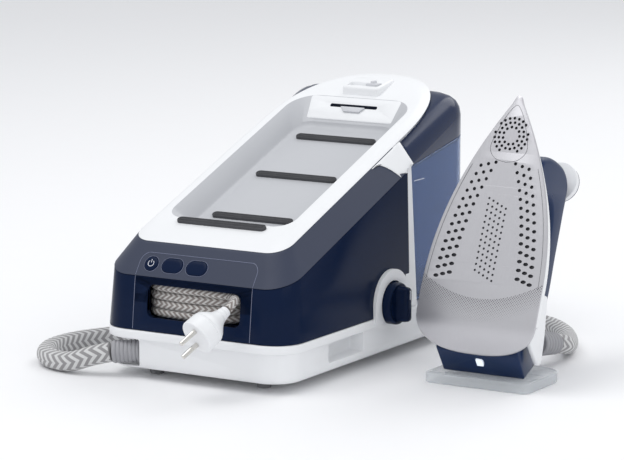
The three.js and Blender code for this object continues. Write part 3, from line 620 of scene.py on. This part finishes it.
def add_lead():
    route = [*hank_turns(), (12, 11.6, 87.5), (24, 12.4, 87), *LEAD_ROUTE]
    path = smooth_curve([mm(p) for p in route], 4)
    mesh = sleeve_tube(path, LEAD_RADIUS / 1000, 14)
    lead = finish_mesh(
        "mains_lead_sleeve", mesh, LEAD_CLOTH, "station", ["mains_lead", "mains_hank"],
    )
    length = (Vector(PLUG_FACE) - Vector(PLUG_TAIL)).length
    profile = [
        (4.4, 0), (5.2, 0.8), (5.5, 4), (5.0, 4.6), (5.9, 5.4), (6.3, 8.2), (5.8, 8.8), (6.9, 9.8),
        (7.6, 12), (9.2, 14.5), (12, 18), (14.6, 21), (16.3, 24), (16.9, 26), (16.2, 27), (16.2, 27.6),
        (17.2, 28.6), (17.5, length - 1.5), (16.9, length - 0.3), (15.6, length),
    ]
    plug = turned(PLUG_TAIL, PLUG_FACE, profile)
    plug = finish_mesh("mains_plug_body", plug, WHITE, "station", ["mains_plug"])
    for pin in ("plug_pin_1", "plug_pin_2"):
        keep(pin, NICKEL)


def keep(node, material):
    """A CAD node that stays, with a better material in its slots."""
    mesh = NODES[node].data
    if not mesh.materials:
        mesh.materials.append(material)
    for i in range(len(mesh.materials)):
        mesh.materials[i] = material


# ---- Station ----
def base_rings():
    half, front, rear = BASE["half"], BASE["front"], BASE["rear"]
    steps = [
        (8, 10.0), (6.6, 10.2), (5.4, 11.0), (3.6, 13.0), (2.7, 15.2), (2.5, 18.0),
        (2.5, 38.0), (2.3, 38.6), (0.7, 38.6), (0.15, 38.9), (0, 39.6), (0, 45.2),
        (0.3, 46.3), (1.0, 47.0), (9.0, 47.0),
    ]
    return [raised(plan(half - i, front + i, rear - i, 33 - i, 37 - i), z) for i, z in steps]


BEZEL_FOOT = 42


def add_base():
    side_groove = block(88, 120, 76, 141, 19, BASE["rim_bottom"])
    hose_notch = block(-120, -58, -30, 44, 12, BASE["rim_bottom"])
    hose_bore = rod((-62, 11, 25), (-50, 11, 25), 11.6)
    shell = minus(loft(base_rings()), softened(side_groove, 3, 4), softened(hose_notch, 3, 4), hose_bore)
    finish_mesh("base_moulding", softened(shell, 0.5, 2), WHITE, "station", ["base_tray"])
    y, z, bezel = KNOB["y"], KNOB["z"], KNOB["bezel"]
    arch = [*arc(0, 0, bezel, 0, 180, 40), (-bezel, BEZEL_FOOT - z), (bezel, BEZEL_FOOT - z)]
    plate = loft([[(x, y + a, z + b) for a, b in arch] for x in (99, 108.4)])
    plate = minus(plate, rod((90, y, z), (120, y, z), KNOB["radius"] + 1.6, sides=64))
    finish_mesh("knob_bezel", softened(plate, 1.4, 4), WHITE, "station")


def body_rings():
    top = deck(BAND_LOW - 0.3)
    rings = []
    for inset, lift in [(1.2, 0.0), (0.3, 0.25), (0, 1.0)]:
        z = BODY_FOOT + lift
        rings.append(raised(plan(half_at(z) - inset, front_at(z) + inset, BODY_REAR - inset, 30, 2), z))
    for inset, drop, rear, corner in [(0, 1.2, 0, 28), (0.3, 0.3, 0, 28), (1.2, 0, 1, 27)]:
        flat = plan(BAND_HALF - inset, BAND_FRONT + inset, BODY_REAR - rear, corner, 2)
        rings.append(raised(flat, lambda y, d=drop: top(y) - d))
    return rings


def mouth(front, back):
    """The opening of the cord compartment, as a solid between two depths."""
    o = OPENING
    middle, half = (o["left"] + o["right"]) / 2, (o["right"] - o["left"]) / 2
    flat = plan(half, o["low"], o["high"], 6, 6)
    return loft([[(x + middle, y, z) for x, z in flat] for y in (front, back)])


def add_body():
    bin_space = block(-72, 54, 5.8, 83.5, 58.5, 93.5)
    wide = FASCIA_HALF + 0.35
    shell = minus(
        loft(body_rings()), mouth(-30, 10), softened(bin_space, 3, 3),
        *button_wells(0.6, -8), block(-wide, wide, -30, 1.2, 30, 140),
    )
    shell = softened(shell, 0.35, 2)
    finish_mesh("body_moulding", shell, NAVY, "station", ["body_shell", "cord_bin"])
    front = block(-FASCIA_HALF, FASCIA_HALF, -30, 5.5, 30, 140)
    slab = modified(loft(body_rings()), boolean("INTERSECT", front), boolean("DIFFERENCE", mouth(-30, 84)))
    slab = softened(slab, 0.6, 3)
    finish_mesh("front_fascia_panel", slab, NAVY, "station", ["front_fascia"])


def band_rings():
    low, high = deck(BAND_LOW + 0.2), deck(BAND_HIGH - 0.2)
    rings = []
    for t in (0, 0.03, 0.06, 0.3, 0.6, 0.94, 1):
        half = BAND_HALF + (CRADLE["half"] - BAND_HALF) * t
        front = BAND_FRONT + (CRADLE["front"] - BAND_FRONT) * t
        flat = plan(half, front, BODY_REAR, 28 - 8 * t, 2)
        rings.append(raised(flat, lambda y, t=t: low(y) + (high(y) - low(y)) * t))
    return rings


BAND_FOOT = deck(BAND_LOW)(BAND_FRONT)
BAND_RISE = (deck(BAND_HIGH)(CRADLE["front"]) - BAND_FOOT) / (CRADLE["front"] - BAND_FRONT)
LEAN = math.atan(BAND_RISE)
OUT = Vector((0, -math.sin(LEAN), math.cos(LEAN)))
UP = Vector((0, math.cos(LEAN), math.sin(LEAN)))


def on_band(x, height, lift=0.0):
    """A point over the sloping front face: x across, height in millimetres above the table."""
    y = BAND_FRONT + (height - BAND_FOOT) / BAND_RISE
    return Vector((x, y, height)) + OUT * lift


POWER_X = -51.5
BUTTONS = [("power_button", POWER_X, 7.4), ("boost_button", -28, 11.5), ("program_button", -1, 11.5)]
BUTTON_HALF_HEIGHT, BUTTON_HEIGHT, BUTTON_PROUD = 7.4, 109.5, 1.15
BUTTON_PROFILE = [(0, -4), (0, 0.2), (-0.15, 0.6), (-0.6, 0.95), (-2, 1.15), (-4.5, 1.2)]
BUTTON_RIM = [(0.35, -0.5), (0.35, 0.25), (0.55, 0.4), (0.8, 0.25), (0.9, -0.5)]


def capsule(x, half_width, grow, lift):
    """A button's outline on the sloping front, grown all round and lifted off it."""
    steps = 16
    side, r = half_width - BUTTON_HALF_HEIGHT, BUTTON_HALF_HEIGHT + grow
    flat = [*arc(side, 0, r, -90, 90, steps), *arc(-side, 0, r, 90, 270, steps)]
    if side == 0:
        flat = flat[:steps] + flat[steps + 1:-1]
    centre = on_band(x, BUTTON_HEIGHT)
    return [centre + Vector((a, 0, 0)) + UP * b + OUT * lift for a, b in flat]


def button_wells(grow, depth):
    return [loft([capsule(x, half, grow, lift) for lift in (depth, 6)]) for _, x, half in BUTTONS]


def add_buttons():
    for name, x, half_width in BUTTONS:
        mesh = loft([capsule(x, half_width, grow, lift) for grow, lift in BUTTON_PROFILE])
        finish_mesh(f"{name}_cap", mesh, NAVY, name, [name])
        rim = [capsule(x, half_width, grow, lift) for grow, lift in BUTTON_RIM]
        ring = loft(rim, ends=(False, False))
        finish_mesh(f"{name}_rim", ring, LINE_BLUE, "station")
    radius, ring = 3.1, []
    for angle in range(40, 321, 20):
        turn = math.radians(angle)
        place = on_band(POWER_X + radius * math.sin(turn), BUTTON_HEIGHT, BUTTON_PROUD)
        ring.append(place + UP * radius * math.cos(turn))
    stem = [on_band(POWER_X, BUTTON_HEIGHT, BUTTON_PROUD) + UP * b for b in (0.6, 2.4, 4.2)]
    for name, points in (("power_ring", ring), ("power_stem", stem)):
        mesh = sleeve_tube([mm(p) for p in points], 0.00035, 8)
        finish_mesh(name, mesh, LINE_WHITE, "power_button")


def add_panel_outline():
    """A fine line up both sides of the fascia and round the top of the control panel."""
    corner = 9
    left = [Vector((-FASCIA_HALF, front_at(z) - 0.05, z)) for z in (48.5, 70, 92)]
    left.append(on_band(-FASCIA_HALF, BAND_FOOT + 1))
    bend = arc(corner - FASCIA_HALF, PANEL_TOP - corner, corner, 180, 90, 8)
    left += [on_band(a, b) for a, b in bend]
    right = [Vector((-p.x, p.y, p.z)) for p in reversed(left)]
    mesh = sleeve_tube([mm(p) for p in [*left, *right]], 0.0003, 8)
    finish_mesh("panel_outline", mesh, LINE_BLUE, "station")


def add_panel():
    band = minus(loft(band_rings()), loft(dish_rings(3.4)), *button_wells(0.4, -6))
    finish_mesh(
        "control_band_moulding", band, SLATE, "station", ["control_band", "control_panel"],
    )
    add_buttons()
    add_panel_outline()


DISH_FOOT = 5.5  # height of the rounded foot of the dish's walls


def dish_rings(grow=0.0):
    """The dish that holds the iron, or the same space grown on all sides."""
    rings = []
    floor, top = deck(DISH_FLOOR - grow), deck(RIM_TOP)
    for inset, rise in [(7, 0), (3.4, 0.25), (1.2, 1.4), (0.2, 3.4), (0, DISH_FOOT)]:
        half = DISH_LOW["half"] + grow - inset + 0.15 * rise
        flat = plan(half, DISH_LOW["front"] - grow + inset, DISH_LOW["rear"] + grow - inset, 16, 18)
        rings.append(raised(flat, lambda y, r=rise: floor(y) + r))
    flat = plan(DISH_HIGH["half"] + grow, DISH_HIGH["front"] - grow, DISH_HIGH["rear"] + grow, 18, 28)
    rings.append(raised(flat, lambda y: top(y) + 2))
    return rings


def cradle_rings():
    """The outside of the cradle: hollow below, and drawn in from the band's top edge to the rim."""
    low, high = deck(BAND_HIGH + 0.15), deck(RIM_TOP)
    rings = []
    for inset, drop in [(14, -22), (4, -8), (1, -0.5)]:
        half, front, rear = CRADLE["half"] - inset, CRADLE["front"] + inset, CRADLE["rear"] - inset
        rings.append(raised(boat(half, front, rear, CRADLE["corner"]), lambda y, d=drop: low(y) + d))
    for t, inset in [(0, 0.6), (0.02, 0), (0.3, -0.6), (0.7, -1.2), (0.93, -0.7), (1, 1.5)]:
        at = {key: CRADLE[key] + (RIM[key] - CRADLE[key]) * t for key in CRADLE}
        flat = boat(at["half"] - inset, at["front"] + inset, at["rear"] - inset, at["corner"])
        rings.append(raised(flat, lambda y, t=t: low(y) + (high(y) - low(y)) * t))
    return rings


CATCH_PLACE, CATCH_SLOPE = (0, 301.4, 227), math.atan2(28, 21)


def catch_slot():
    """A wide slot through the dish's rear wall, square to it."""
    across = Vector((0, math.sin(CATCH_SLOPE), math.cos(CATCH_SLOPE)))
    down = Vector((0, math.cos(CATCH_SLOPE), -math.sin(CATCH_SLOPE)))
    flat = plan(27, -2.2, 2.2, 1.8, 1.8, 4)
    mouth_line = [Vector(CATCH_PLACE) + across * b - Vector((a, 0, 0)) for a, b in flat]
    return loft([[p + down * depth for p in mouth_line] for depth in (-14, 10)])


def add_cradle():
    shell = coloured(loft(cradle_rings()), WHITE)
    shell = minus(shell, coloured(loft(dish_rings()), TRAY), coloured(catch_slot(), SLATE))
    shell = softened(shell, 1.4, 4, 28)
    finish_mesh("cradle_moulding", shell, WHITE, "station", ["cradle"])
    side = [(311, 236), (311, 248.5), (346, 254.5), (346, 240)]
    tab = hull([(x, y, z) for x in (-21, 21) for y, z in side])
    tab = minus(softened(tab, 3, 4), softened(block(-17.5, 17.5, 315.5, 326.5, 246, 275), 1.2, 2))
    finish_mesh("lock_tab", softened(tab, 0.4, 2), WHITE, "station")
    refined("lock_slider", PALE, "lock_slider", 0.5)


STRIP_PROFILE = [
    (0, 0), (0, 2.3), (0.35, 2.85), (0.8, 3), (1.2, 2.85), (1.45, 2.2), (1.75, 2.2), (2.0, 2.85),
    (2.4, 3), (2.8, 2.85), (3.05, 2.2), (3.35, 2.2), (3.6, 2.85), (3.9, 3),
]


def strip_mesh(half, y, z):
    """A rubber strip with grooves all round it, lying on the deck's slope."""
    lean = math.atan(SLOPE)
    along = Vector((0, math.cos(lean), math.sin(lean)))
    out = Vector((0, -math.sin(lean), math.cos(lean)))
    rings = []
    for inset, height in STRIP_PROFILE:
        flat = plan(half - inset, -4.25 + inset, 4.25 - inset, 4.2 - inset, 4.2 - inset, 6)
        rings.append([Vector((a, y, z)) + along * b + out * height for a, b in flat])
    return loft(rings)


def add_strips():
    """One strip on the rim's front lip and three on the dish's floor."""
    places = [(49, 53.2, RIM_TOP), (45, 108, DISH_FLOOR), (45.5, 188, DISH_FLOOR), (45.5, 264, DISH_FLOOR)]
    for i, (half, y, height) in enumerate(places, 1):
        mesh = strip_mesh(half, y, deck(height)(y) + 0.1)
        node = f"rest_strip_{i}"
        finish_mesh(f"{node}_ribs", mesh, RUBBER, "station", [node])


def add_knob():
    y, z, r = KNOB["y"], KNOB["z"], KNOB["radius"]
    profile = [
        (r - 3, -4), (r - 0.4, -3), (r, 0), (r, 7.5), (r - 0.4, 8.8), (r - 1.4, 9.7), (r - 2.6, 9.2),
        (r - 5, 8.6), (6, 8.3),
    ]
    disc = turned((106, y, z), (120, y, z), profile, sides=64)
    grip_rings = []
    for x, inset in [(110, 0), (122, 0.8), (125.2, 1.4), (126.5, 2.4), (127, 4.2)]:
        corner = max(5.5 - inset, 0.4)
        flat = plan(6 - inset, -18 + inset, 18 - inset, corner, corner, 8)
        grip_rings.append([(x, y + a, z + b) for a, b in flat])
    knob = softened(modified(disc, boolean("UNION", loft(grip_rings))), 0.5, 2)
    finish_mesh("rinse_knob_grip", knob, NAVY, "rinse_knob", ["rinse_knob"])
    mark = softened(block(126.6, 127.25, y - 0.6, y + 0.6, z + 5, z + 14), 0.2, 2)
    finish_mesh("rinse_knob_mark", mark, LINE_WHITE, "rinse_knob")


# ---- Tank ----
CAP_SPLIT, CAP_SLOPE = 139.5, 0.176  # the line between tank and cap rises towards the back
CAP_TOP, CAP_CEILING = 116, 244
LEVEL_MARK = 168


def tank_plan(inset, crown=0.0):
    """The tank's plan, drawn in all round by the inset, and less so in front by the crown."""
    half, rear = TANK["half"] - inset - crown, TANK["rear"] - inset - crown * 1.3
    return plan(half, TANK["front"] + inset, rear, 5, TANK["corner"] - inset - crown * 0.6)


def cap_split(lift):
    return lambda y: CAP_SPLIT + CAP_SLOPE * y + lift


def add_tank():
    low = TANK["low"]
    walls = [
        (2.5, low), (0.8, low + 0.6), (0.1, low + 2.4), (0, low + 5), (0, cap_split(-1)),
        (0.8, cap_split(0)), (2.4, cap_split(0)), (2.5, low + 6), (5, low + 3),
    ]
    tank = loft([raised(tank_plan(inset), height) for inset, height in walls])
    finish_mesh("water_tank_moulding", tank, TANK_BLUE, "tank", ["water_tank"])
    mark = sleeve_tube([mm((TANK["half"] + 0.02, y, LEVEL_MARK)) for y in (252, 262, 272)], 0.0004, 8)
    finish_mesh("water_level_line", mark, LINE_WHITE, "tank")
    skirt = [(3, cap_split(-4)), (2.6, cap_split(0.3)), (0.6, cap_split(0.4)), (0, cap_split(1))]
    rings = [raised(tank_plan(inset), height) for inset, height in skirt]
    top = deck(CAP_TOP)
    for crown, drop in [(0, 22), (1.2, 14), (4, 8), (8.5, 3.6), (14, 1), (20, 0)]:
        rings.append(raised(tank_plan(0, crown), lambda y, d=drop: min(top(y), CAP_CEILING) - d))
    flap_seat = softened(block(-28.4, 28.4, 372.8, 400, 211.6, 232.4), 0.8, 2)
    cap = softened(minus(loft(rings), loft(dish_rings(3.8)), flap_seat), 0.6, 2, 40)
    finish_mesh("tank_cap_moulding", cap, CAP_BLUE, "tank", ["tank_cap"])
    refined("tank_flap", NAVY, "tank_flap", 0.6)


# ---- Iron ----
WIDEST = 58  # from here the soleplate narrows to its tip
VENT_RADIUS, TIP_VENT_RADIUS, DOT_RADIUS = 1.75, 1.45, 1.2
TIP_CENTRE = 208


def sole_outline(inset):
    length, half, rear, start, bulge = SOLE["length"], SOLE["half"], 34, WIDEST, 2 / 2.6
    right, steps = [], 40
    for i in range(17):
        angle = math.pi / 2 * i / 16
        right.append((half * math.sin(angle) ** bulge, rear * (1 - math.cos(angle) ** bulge)))
    right.append((half, start))
    for i in range(1, steps):
        t = i / steps
        right.append((half * (1 - t ** 2.05) ** 1.02, start + (length - start) * t))
    right = [(x, y) for x, y in right if y < length - 6]
    right += [(3.6, length - 4.2), (2.7, length - 2.6), (1.5, length - 1.6), (0.6, length - 1.3)]
    inner = [(max(x - inset, 0.4), y + inset * (1 - 2 * y / length)) for x, y in right]
    return [(0, inner[0][1]), *inner[1:], *[(-x, y) for x, y in reversed(inner[1:])]]


def curl_at(y):
    t = max(0.0, 1 - y / SOLE["curl_length"])
    return SOLE["curl"] * t * t


def sole_ring(inset, offset):
    return [(x, y, curl_at(y) + offset) for x, y in sole_outline(inset)]


def sole_sheet():
    """The plate's face as rows across it, so that its curl is smooth, with its rounded edge."""
    work = bmesh.new()
    edge = [(0.9, 0.0), (0.25, 0.3), (0.0, 0.9), (0.0, 2.2), (0.6, 2.9)]
    rings = [[work.verts.new(iron(p)) for p in sole_ring(i, z)] for i, z in edge]
    skin(work, rings)
    for ring in (rings[0], rings[-1]):
        right, left = ring[1:], ring[1:][::-1]
        count = len(right) // 2
        for i in range(count - 1):
            work.faces.new((right[i], right[i + 1], left[i + 1], left[i]))
        work.faces.new((ring[0], right[0], left[0]))
    bmesh.ops.recalc_face_normals(work, faces=work.faces)
    uv = work.loops.layers.uv.new("UVMap")
    for face in work.faces:
        for loop in face.loops:
            flat = IRON_AXES.transposed() @ (loop.vert.co - mm(IRON_PLACE))
            loop[uv].uv = (flat.x, flat.y)
    return made(work)


def sole_half(y):
    return SOLE["half"] * (1 - max(0.0, (y - WIDEST) / (SOLE["length"] - WIDEST)) ** 2.05)


def tip_holes():
    """Rings of round vents near the tip, around a clear centre."""
    holes = []
    for radius, count in [(8.5, 11), (12.9, 17), (17.2, 22)]:
        for i in range(count):
            angle = 2 * math.pi * (i + 0.5) / count
            x, y = radius * math.cos(angle), TIP_CENTRE + radius * math.sin(angle)
            if abs(x) < sole_half(y) - 5 and y > TIP_CENTRE - 15:
                holes.append((x, y, TIP_VENT_RADIUS, 1.0))
    return holes


def side_holes():
    """Three columns of vents down each side, round towards the tip and wide towards the heel."""
    holes = []
    for row in range(14):
        for column in range(3):
            y = 68 + 8.4 * row + 2.1 * column
            x = sole_half(y) - 13.5 - 6.6 * column
            stretch = 1.0 + 0.6 * max(0.0, 1 - row / 10)
            holes += [(x, y, VENT_RADIUS, stretch), (-x, y, VENT_RADIUS, stretch)]
    return holes


def centre_dots():
    """A slanted lattice of fine, shallow dots down the middle."""
    places = [(4.8 * c - 9.6, 68 + 5.8 * r + 2.2 * c) for r in range(13) for c in range(5)]
    return [(x, y, DOT_RADIUS, 1.0) for x, y in places]


def drill(places, depth, sides=12):
    """Cutters for vents, each given as (x, y, radius, how much wider than high); the holes they cut are
    painted shade.
    """
    work = bmesh.new()
    for x, y, radius, stretch in places:
        flat = [(x + radius * stretch * math.cos(t), y + radius * math.sin(t)) for t in turns(sides)]
        rings = [[work.verts.new(iron((a, b, z))) for a, b in flat] for z in (-3, depth)]
        skin(work, rings)
        work.faces.new(rings[0][::-1])
        work.faces.new(rings[1])
    bmesh.ops.recalc_face_normals(work, faces=work.faces)
    return coloured(made(work), PAINTED_SHADE)


TIP_OUTLINE = [
    (0, 182), (-12, 185), (-19, 194), (-15, 212), (-6, 232), (0, 238), (6, 232), (15, 212), (19, 194),
    (12, 185), (0, 182),
]


def sole_line(name, points):
    """A hair-thin dark line on the soleplate, as a groove in its face: painted shade of the groove."""
    mesh = sleeve_tube([iron((x, y, -0.02)) for x, y in points], 0.0002, 6)
    finish_mesh(name, mesh, PAINTED_SHADE, "iron")


def add_sole():
    cutters = [drill(tip_holes(), 2.2), drill(side_holes(), 2.2), drill(centre_dots(), 0.9, 8)]
    plate = minus(coloured(sole_sheet(), COATING), *cutters)
    finish_mesh("soleplate_face", plate, COATING, "iron", ["soleplate"])
    # The side grooves and the tip's outline are drawn as lines of painted shade.
    for side, hand in ((-1, "right"), (1, "left")):
        line = [(side * (sole_half(y) - 4), y) for y in range(64, 180, 6)]
        sole_line(f"sole_groove_{hand}", line)
    dense = smooth_curve([Vector((x, y, 0)) for x, y in TIP_OUTLINE], 6)
    sole_line("sole_tip_outline", [(p.x, p.y) for p in dense])


def skirt_rings():
    rings = []
    for inset, height, low, high in [
        (3.0, 3.2, 30, 247), (1.4, 3.6, 30, 247), (1.2, 5.5, 30, 247), (2.2, 10, 31, 245), (5, 18, 32, 239),
        (9, 26, 33, 231), (13, 33, 34, 223), (17, 39, 36, 215), (20, 41.4, 38, 212), (23, 42.2, 40, 208),
    ]:
        outline = sole_outline(inset)
        rings.append([(x, min(max(y, low), high), height) for x, y in outline])
    return rings


def add_skirt():
    mesh = loft(skirt_rings(), iron)
    finish_mesh("iron_skirt_moulding", mesh, WHITE, "iron", ["iron_skirt"])
    refined("iron_heel", HANDLE_BLUE, "iron", 5.0, 5)
    cheek = [(64, 6), (66, 34), (30, 44), (6, 48), (1, 43), (16, 18), (34, 5)]
    for side, hand in ((-1, "right"), (1, "left")):
        points = [(side * x, y, z) for x in (47.5, 53.5) for y, z in cheek]
        mesh = softened(hull(points, iron), 2.2, 4)
        finish_mesh(f"skirt_cheek_{hand}", mesh, WHITE, "iron")
    refined("status_lens", LENS, "iron", 0.4)


HANDLE_OUTLINE = [
    (36, 42.6), (34, 70), (41, 96), (56, 113), (84, 116.2), (120, 114.4), (160, 113), (192, 110.5),
    (204, 98), (207.5, 78), (205, 58), (196, 43),
]
FINGER_GAP = [
    (53, 66), (54, 80), (66, 87.5), (104, 87.5), (148, 86), (163, 79), (166.5, 67), (158, 59.5),
    (110, 58), (64, 58),
]
CAP_PROFILE = [
    (17, 0), (19.3, 0.3), (19.7, 1.6), (19.5, 4.5), (18.7, 8), (17.4, 11), (15.6, 12.9), (13, 13.6),
    (8, 13.8), (7.5, 13.5), (7.4, 10),
]


def closed_curve(points, per_span=8):
    loop = [Vector(p) for p in points]
    loop = [*loop[-2:], *loop, *loop[:3]]
    dense = smooth_curve([Vector((a, b, 0)) for a, b in loop], per_span)
    first, count = 2 * per_span, len(points) * per_span
    return [(p.x, p.y) for p in dense[first:first + count]]


def outlined(outline, half):
    """A solid of a closed curve in the iron's middle plane, as wide as twice the half."""
    return loft([[(x, a, b) for a, b in closed_curve(outline)] for x in (-half, half)], iron)


def on_cap(start, end, profile):
    return turned((0, CAP_PLACE, start), (0, CAP_PLACE, end), profile, iron)


def add_handle():
    grip = softened(minus(outlined(HANDLE_OUTLINE, 15), outlined(FINGER_GAP, 30)), 7.5, 6, 50)
    grip = minus(grip, block(-7.4, 7.4, 137.6, 163.4, 80, 98, iron))
    finish_mesh("iron_handle_grip", grip, HANDLE_BLUE, "iron", ["iron_handle"])
    trigger = softened(block(-7, 7, 138, 163, 80.8, 92, iron), 2.2, 4)
    finish_mesh("steam_trigger_lever", trigger, WHITE, "steam_trigger", ["steam_trigger"])
    cap = on_cap(114.4, 128, CAP_PROFILE)
    finish_mesh("handle_cap_moulding", cap, WHITE, "iron", ["handle_cap"])
    seam = []
    for radius, z in [(18.2, 121.4), (19.1, 121.55), (19.0, 122.35), (18.1, 122.5)]:
        seam.append([(a, CAP_PLACE + b, z) for a, b in arc(0, 0, radius, 0, 360, 40)[:-1]])
    seam = loft(seam, iron, (False, False))
    finish_mesh("handle_cap_seam", seam, SLATE, "iron")
    button = on_cap(123.5, 130, [(6.9, 0), (7, 0.4), (7, 5), (6.7, 5.5), (6.1, 5.8), (3, 5.95)])
    finish_mesh("mode_button_cap", button, PALE, "mode_button", ["mode_button"])


def add_heel_rest():
    rings = []
    for inset, z in [(1.4, 0.0), (0.4, 0.5), (0, 1.4), (0, 8.4), (0.4, 9.5), (1.6, 10)]:
        flat = plan(55 - inset, 126 + inset, 208 - inset, 8 - inset, 26 - inset)
        rings.append([(x + IRON_PLACE[0], y, z) for x, y in flat])
    finish_mesh("heel_rest_moulding", loft(rings), CLEAR, "iron", ["heel_rest"])


def side_at(y, z):
    """How far out the station's side is: the body's gentle taper, then the band's steep one."""
    low, high = deck(BAND_LOW)(y), deck(BAND_HIGH)(y)
    if z <= low:
        return half_at(z)
    return BAND_HALF + (CRADLE["half"] - BAND_HALF) * min((z - low) / (high - low), 1)


COLUMN_FRONT, COLUMN_REAR, COLUMN_FOOT = 221, 240.6, BODY_FOOT + 0.3
COLUMN_FLARE, FLARE_TOP = 34.0, 200  # the flare's radius, and the y whose band top it rises to


def column_rings(side):
    """The white column beside the tank, which flares forward under the cradle."""
    top = deck(BAND_HIGH - 0.5)
    levels, steps = 48, 8
    rings = []
    for i in range(levels + 1):
        level = COLUMN_FOOT + (top(COLUMN_REAR) - COLUMN_FOOT) * (i / levels)
        bite = max(0.0, 1 - max(0.0, top(FLARE_TOP) - level) / COLUMN_FLARE)
        front = COLUMN_FRONT - COLUMN_FLARE * (1 - math.sqrt(max(0.0, 1 - bite * bite)))
        row = []
        for step in range(steps + 1):
            y = front + (COLUMN_REAR - front) * (step / steps)
            row.append((y, min(level, top(y))))
        outer = [(side * (side_at(y, z) + 0.9), y, z) for y, z in row]
        inner = [(side * (side_at(y, z) - 1.5), y, z) for y, z in reversed(row)]
        rings.append([*outer, *inner])
    return rings


def add_columns():
    for side, hand in ((-1, "left"), (1, "right")):
        mesh = softened(loft(column_rings(side)), 0.5, 2, 50)
        finish_mesh(f"side_column_{hand}", mesh, WHITE, "station")


def add_pad():
    """The bright landing pad on the dish's rear wall, with the catch's slot through it."""
    low, high = DISH_LOW["rear"], DISH_HIGH["rear"]
    foot = Vector((0, low, deck(DISH_FLOOR)(low) + DISH_FOOT))
    head = Vector((0, high, deck(RIM_TOP)(high) + 2))
    across = (head - foot).normalized()
    out = Vector((0, -across.z, across.y))
    centre = (foot + head) / 2

    def on_wall(a, b, lift):
        return centre + across * b + Vector((a, 0, 0)) + out * lift

    rings = []
    for inset, lift in [(0, -1.5), (0, 0.3), (0.5, 0.9), (1.3, 1.1)]:
        flat = plan(59 - inset, -14.5 + inset, 13 - inset, 8, 11)
        rings.append([on_wall(a, b, lift) for a, b in flat])
    slot = [[on_wall(a, b + 2.6, lift) for a, b in plan(27, -1.8, 1.8, 1.5, 1.5)] for lift in (-6, 6)]
    pad = minus(coloured(loft(rings), WHITE), coloured(loft(slot), SLATE))
    finish_mesh("rest_pad", softened(pad, 0.3, 2), WHITE, "station")
    outline = [(-14, 1), (14, 1), (9, -5), (-9, -5)]
    tongue = hull([on_wall(a, b, lift) for a, b in outline for lift in (0.4, 3.2)])
    finish_mesh("catch_tongue", softened(tongue, 0.6, 3), PALE, "station")


INNER_PARTS = [
    (STEEL, ["boiler", "boiler_heater", "thermostat"]),
    (BRASS, ["drain_valve", "steam_valve"]),
    (PALE, ["boiler_stand", "pump", "tank_socket", "tank_valve", "hose_socket"]),
    (BOARD, ["control_board"]),
    (ALUMINIUM, ["steam_chamber"]),
    (FOOT_RUBBER, ["foot_1", "foot_2", "foot_3", "foot_4"]),
]


def add_rear():
    """The rear frame, and better materials for the parts that stay as the CAD model has them."""
    refined("rear_frame", WHITE, "station", 1.2, 3)
    for material, nodes in INNER_PARTS:
        for node in nodes:
            keep(node, material)


# ---- Studio ----
def add_studio():
    scene = bpy.context.scene
    scene.view_settings.view_transform = "Standard"
    world = bpy.data.worlds.new("studio")
    world.use_nodes = True
    world.node_tree.nodes["Background"].inputs[0].default_value = (0.96, 0.975, 1.0, 1)
    world.node_tree.nodes["Background"].inputs[1].default_value = 0.74
    scene.world = world
    mesh = bpy.data.meshes.new("floor")
    reach = 12  # metres
    corners = [(-reach, -reach, 0), (reach, -reach, 0), (reach, reach, 0), (-reach, reach, 0)]
    mesh.from_pydata(corners, [], [(0, 1, 2, 3)])
    floor = placed("floor", mesh)
    mesh.materials.append(moulded("floor_paint", (0.93, 0.93, 0.94), 0.6, 0.005))
    for name, place, size, power in [
        ("key_light", (-0.7, -0.8, 2.4), 1.6, 20),
        ("fill_light", (2.2, -1.2, 1.5), 1.8, 9),
        ("back_light", (0.4, 2.2, 2.2), 1.8, 20),
    ]:
        data = bpy.data.lights.new(name, "AREA")
        data.size = size
        data.energy = power
        light = placed(name, data)
        light.location = place
        light.rotation_euler = (Vector((0, 0, 0.12)) - Vector(place)).to_track_quat("-Z", "Y").to_euler()


add_camera()
add_hose()
add_lead()
add_base()
add_body()
add_panel()
add_cradle()
add_strips()
add_knob()
add_tank()
add_sole()
add_skirt()
add_handle()
add_heel_rest()
add_columns()
add_pad()
add_rear()
add_studio()
